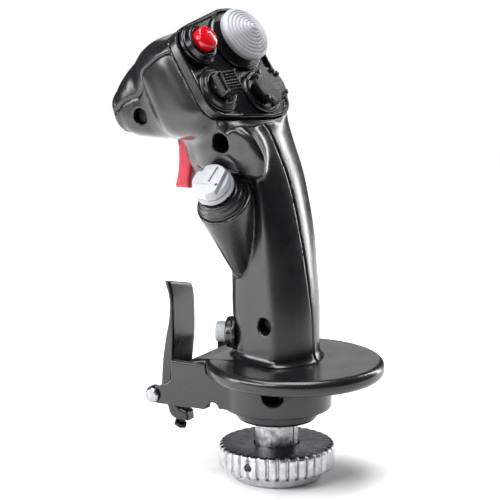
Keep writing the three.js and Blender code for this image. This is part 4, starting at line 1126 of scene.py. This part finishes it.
def make_base():
    low = (-REST_RADIUS, REST_CENTRE_Y - REST_RADIUS, REST_BOTTOM)
    high = (REST_RADIUS, REST_FRONT, REST_TOP)
    rest = mesh_field("hand_rest_casting", hand_rest, low, high, 0.5)
    finish(rest, "black_paint", stands_for="hand_rest")
    drum = mesh_field("drum_casting", housing, (-24, -24, 31), (24, 54, 50.5), 0.45)
    finish(drum, "black_paint", stands_for="base_housing")
    collar = revolve("drum_collar", [
        (9.6, COLLAR_BOTTOM), (15.2, COLLAR_BOTTOM), (16.6, 26.2), (17.6, 27.2), (18.5, 30.2), (18.5, 30.9),
        (9.6, 30.9),
    ], sides=128, edge=0.4)
    finish(collar, "black_paint", stands_for="base_collar")
    washer = revolve("nut_washer", [(9.8, 10.5), (15.8, 10.5), (15.8, 11.5), (9.8, 11.5)], edge=0.15)
    finish(washer, "steel", "washer", "thrust_washer")
    make_nut()


def nut_profile():
    ceiling, bore = NUT_TOP - NUT_PLATE, SPIGOT_RADIUS + 0.65
    lip = [(NUT_SOCKET_RADIUS, 0), (18.6, 0), (NUT_LIP_RADIUS, 0.4), (NUT_LIP_RADIUS, 4.3)]
    side = [
        (19.4, NUT_LIP_TOP), (23.8, NUT_LIP_TOP), (24.6, 5.4), (NUT_RADIUS, 6.2), (NUT_RADIUS, 9.8),
        (NUT_RADIUS, 13.4), (24.6, 14.3), (23.8, NUT_TOP),
    ]
    return [*lip, *side, (bore, NUT_TOP), (bore, ceiling), (NUT_SOCKET_RADIUS, ceiling)]


def drill_tommy_hole(nut):
    crosswise = Matrix.Translation((0, 0, TOMMY_HEIGHT)) @ Matrix.Rotation(math.radians(90), 4, "Y")
    start, end = -NUT_RADIUS - 3, -NUT_RADIUS + 5
    outline = [(0, start), (TOMMY_RADIUS, start), (TOMMY_RADIUS, end), (0, end)]
    cut(nut, revolve("tommy_drill", outline, crosswise, sides=48, edge=0), "DIFFERENCE")


def make_nut():
    nut = revolve("knurled_nut", nut_profile(), sides=720, edge=0.3, shape=knurl)
    drill_tommy_hole(nut)
    finish(nut, "machined_aluminium", "nut", "coupling_nut", angle=28)
    # the upward faces at the nut's top take the darker metal; its side keeps the brighter one
    nut.data.materials.append(DARK_NUT_TOP)
    for face in nut.data.polygons:
        if face.center.z > (NUT_TOP - 0.5) * MM and face.normal.z > 0.3:
            face.material_index = 1


# ---- what is kept as the CAD made it ----

FINISH_OF = {
    "coupling_spigot": ROUGH_SPIGOT, "spigot_key": ROUGH_SPIGOT, "paddle_stop_nut": DARK_STEEL,
    "nose_screw": DARK_STEEL, "middle_screw": DARK_STEEL, "lower_screw": DARK_STEEL,
}
SLOT_OF = {part["node"]: part["material_slot"] for part in frame["record"]["subparts"]}


def finish_kept_nodes():
    """The inner parts keep their CAD shape and get the same materials."""
    hidden = {name for piece in bpy.data.objects for name in piece.get("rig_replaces", [])}
    for name, kept in frame["nodes"].items():
        if name in hidden:
            continue
        kept.data.materials.clear()
        material = FINISH_OF.get(name) or MATERIALS[SLOT_OF[name]]
        kept.data.materials.append(material)
        smooth_shading(kept, 32)


# ---- floor, light and camera ----

def area_light(name, at, size, power, aim, size_y=None):
    light = bpy.data.lights.new(name, "AREA")
    light.energy = power
    light.size = size
    if size_y:
        light.shape = "RECTANGLE"
        light.size_y = size_y
    lamp = bpy.data.objects.new(name, light)
    lamp.location = at
    lamp.rotation_euler = (Vector(aim) - Vector(at)).to_track_quat("-Z", "Y").to_euler()
    lamp.visible_camera = False
    bpy.context.scene.collection.objects.link(lamp)
    return lamp


def make_floor():
    bm = bmesh.new()
    bmesh.ops.create_circle(bm, cap_ends=True, segments=96, radius=0.62)
    mesh = bpy.data.meshes.new("studio_floor")
    bm.to_mesh(mesh)
    bm.free()
    floor = link("studio_floor", mesh)
    paper, _, shader = principled("floor_paper", (0.9, 0.9, 0.9), 0.9)
    shader.inputs["Specular IOR Level"].default_value = 0.2
    floor.data.materials.append(paper)
    floor.location = (0.12, 0.06, -0.0002)


def make_light():
    """White behind the object for the camera, a dim room for everything else, and six soft boxes."""
    world = bpy.data.worlds.new("studio")
    bpy.context.scene.world = world
    bpy.context.scene.view_settings.view_transform = "Standard"
    world.use_nodes = True
    tree = world.node_tree
    backdrop = tree.nodes["Background"]
    backdrop.inputs["Color"].default_value = (1, 1, 1, 1)
    room = node(tree, "ShaderNodeBackground")
    room.inputs["Color"].default_value = (0.9, 0.95, 1, 1)
    room.inputs["Strength"].default_value = 0.07
    path = node(tree, "ShaderNodeLightPath")
    mixed = node(tree, "ShaderNodeMixShader", [("Fac", path.outputs["Is Camera Ray"])])
    tree.links.new(room.outputs["Background"], mixed.inputs[1])
    tree.links.new(backdrop.outputs["Background"], mixed.inputs[2])
    tree.links.new(mixed.outputs["Shader"], tree.nodes["World Output"].inputs["Surface"])
    middle = (0, 0.01, 0.11)
    area_light("top", (-0.05, 0.1, 1.1), 0.8, 22, middle)
    area_light("left_front", (-0.62, 0.9, 0.3), 0.3, 6, middle, 0.5)
    area_light("left_high", (-0.75, 0.1, 0.75), 0.16, 3.2, middle, 0.4)
    area_light("left_floor", (-0.42, 0.24, 0.27), 0.3, 3.4, (-0.42, 0.2401, 0))
    area_light("right_back", (0.75, -0.28, 0.3), 0.1, 4.5, middle, 0.8)
    area_light("far_side", (0.87, 0.5, 0.34), 0.45, 0.5, middle)


def make_camera():
    camera = bpy.data.objects.new("photo_view", bpy.data.cameras.new("photo_view"))
    camera.location = Vector((-785.17, -440.04, 299.76)) * MM
    target = Vector((-5.75, 9.96, 99.41)) * MM
    camera.rotation_euler = (target - camera.location).to_track_quat("-Z", "Y").to_euler()
    camera.data.lens = 157.15
    camera.data.sensor_width = 36
    bpy.context.scene.collection.objects.link(camera)
    bpy.context.scene.camera = camera


make_shells()
make_panel()
make_side_hat()
make_trigger()
make_front_button()
make_base()
make_paddle()
finish_kept_nodes()
make_floor()
make_light()
make_camera()
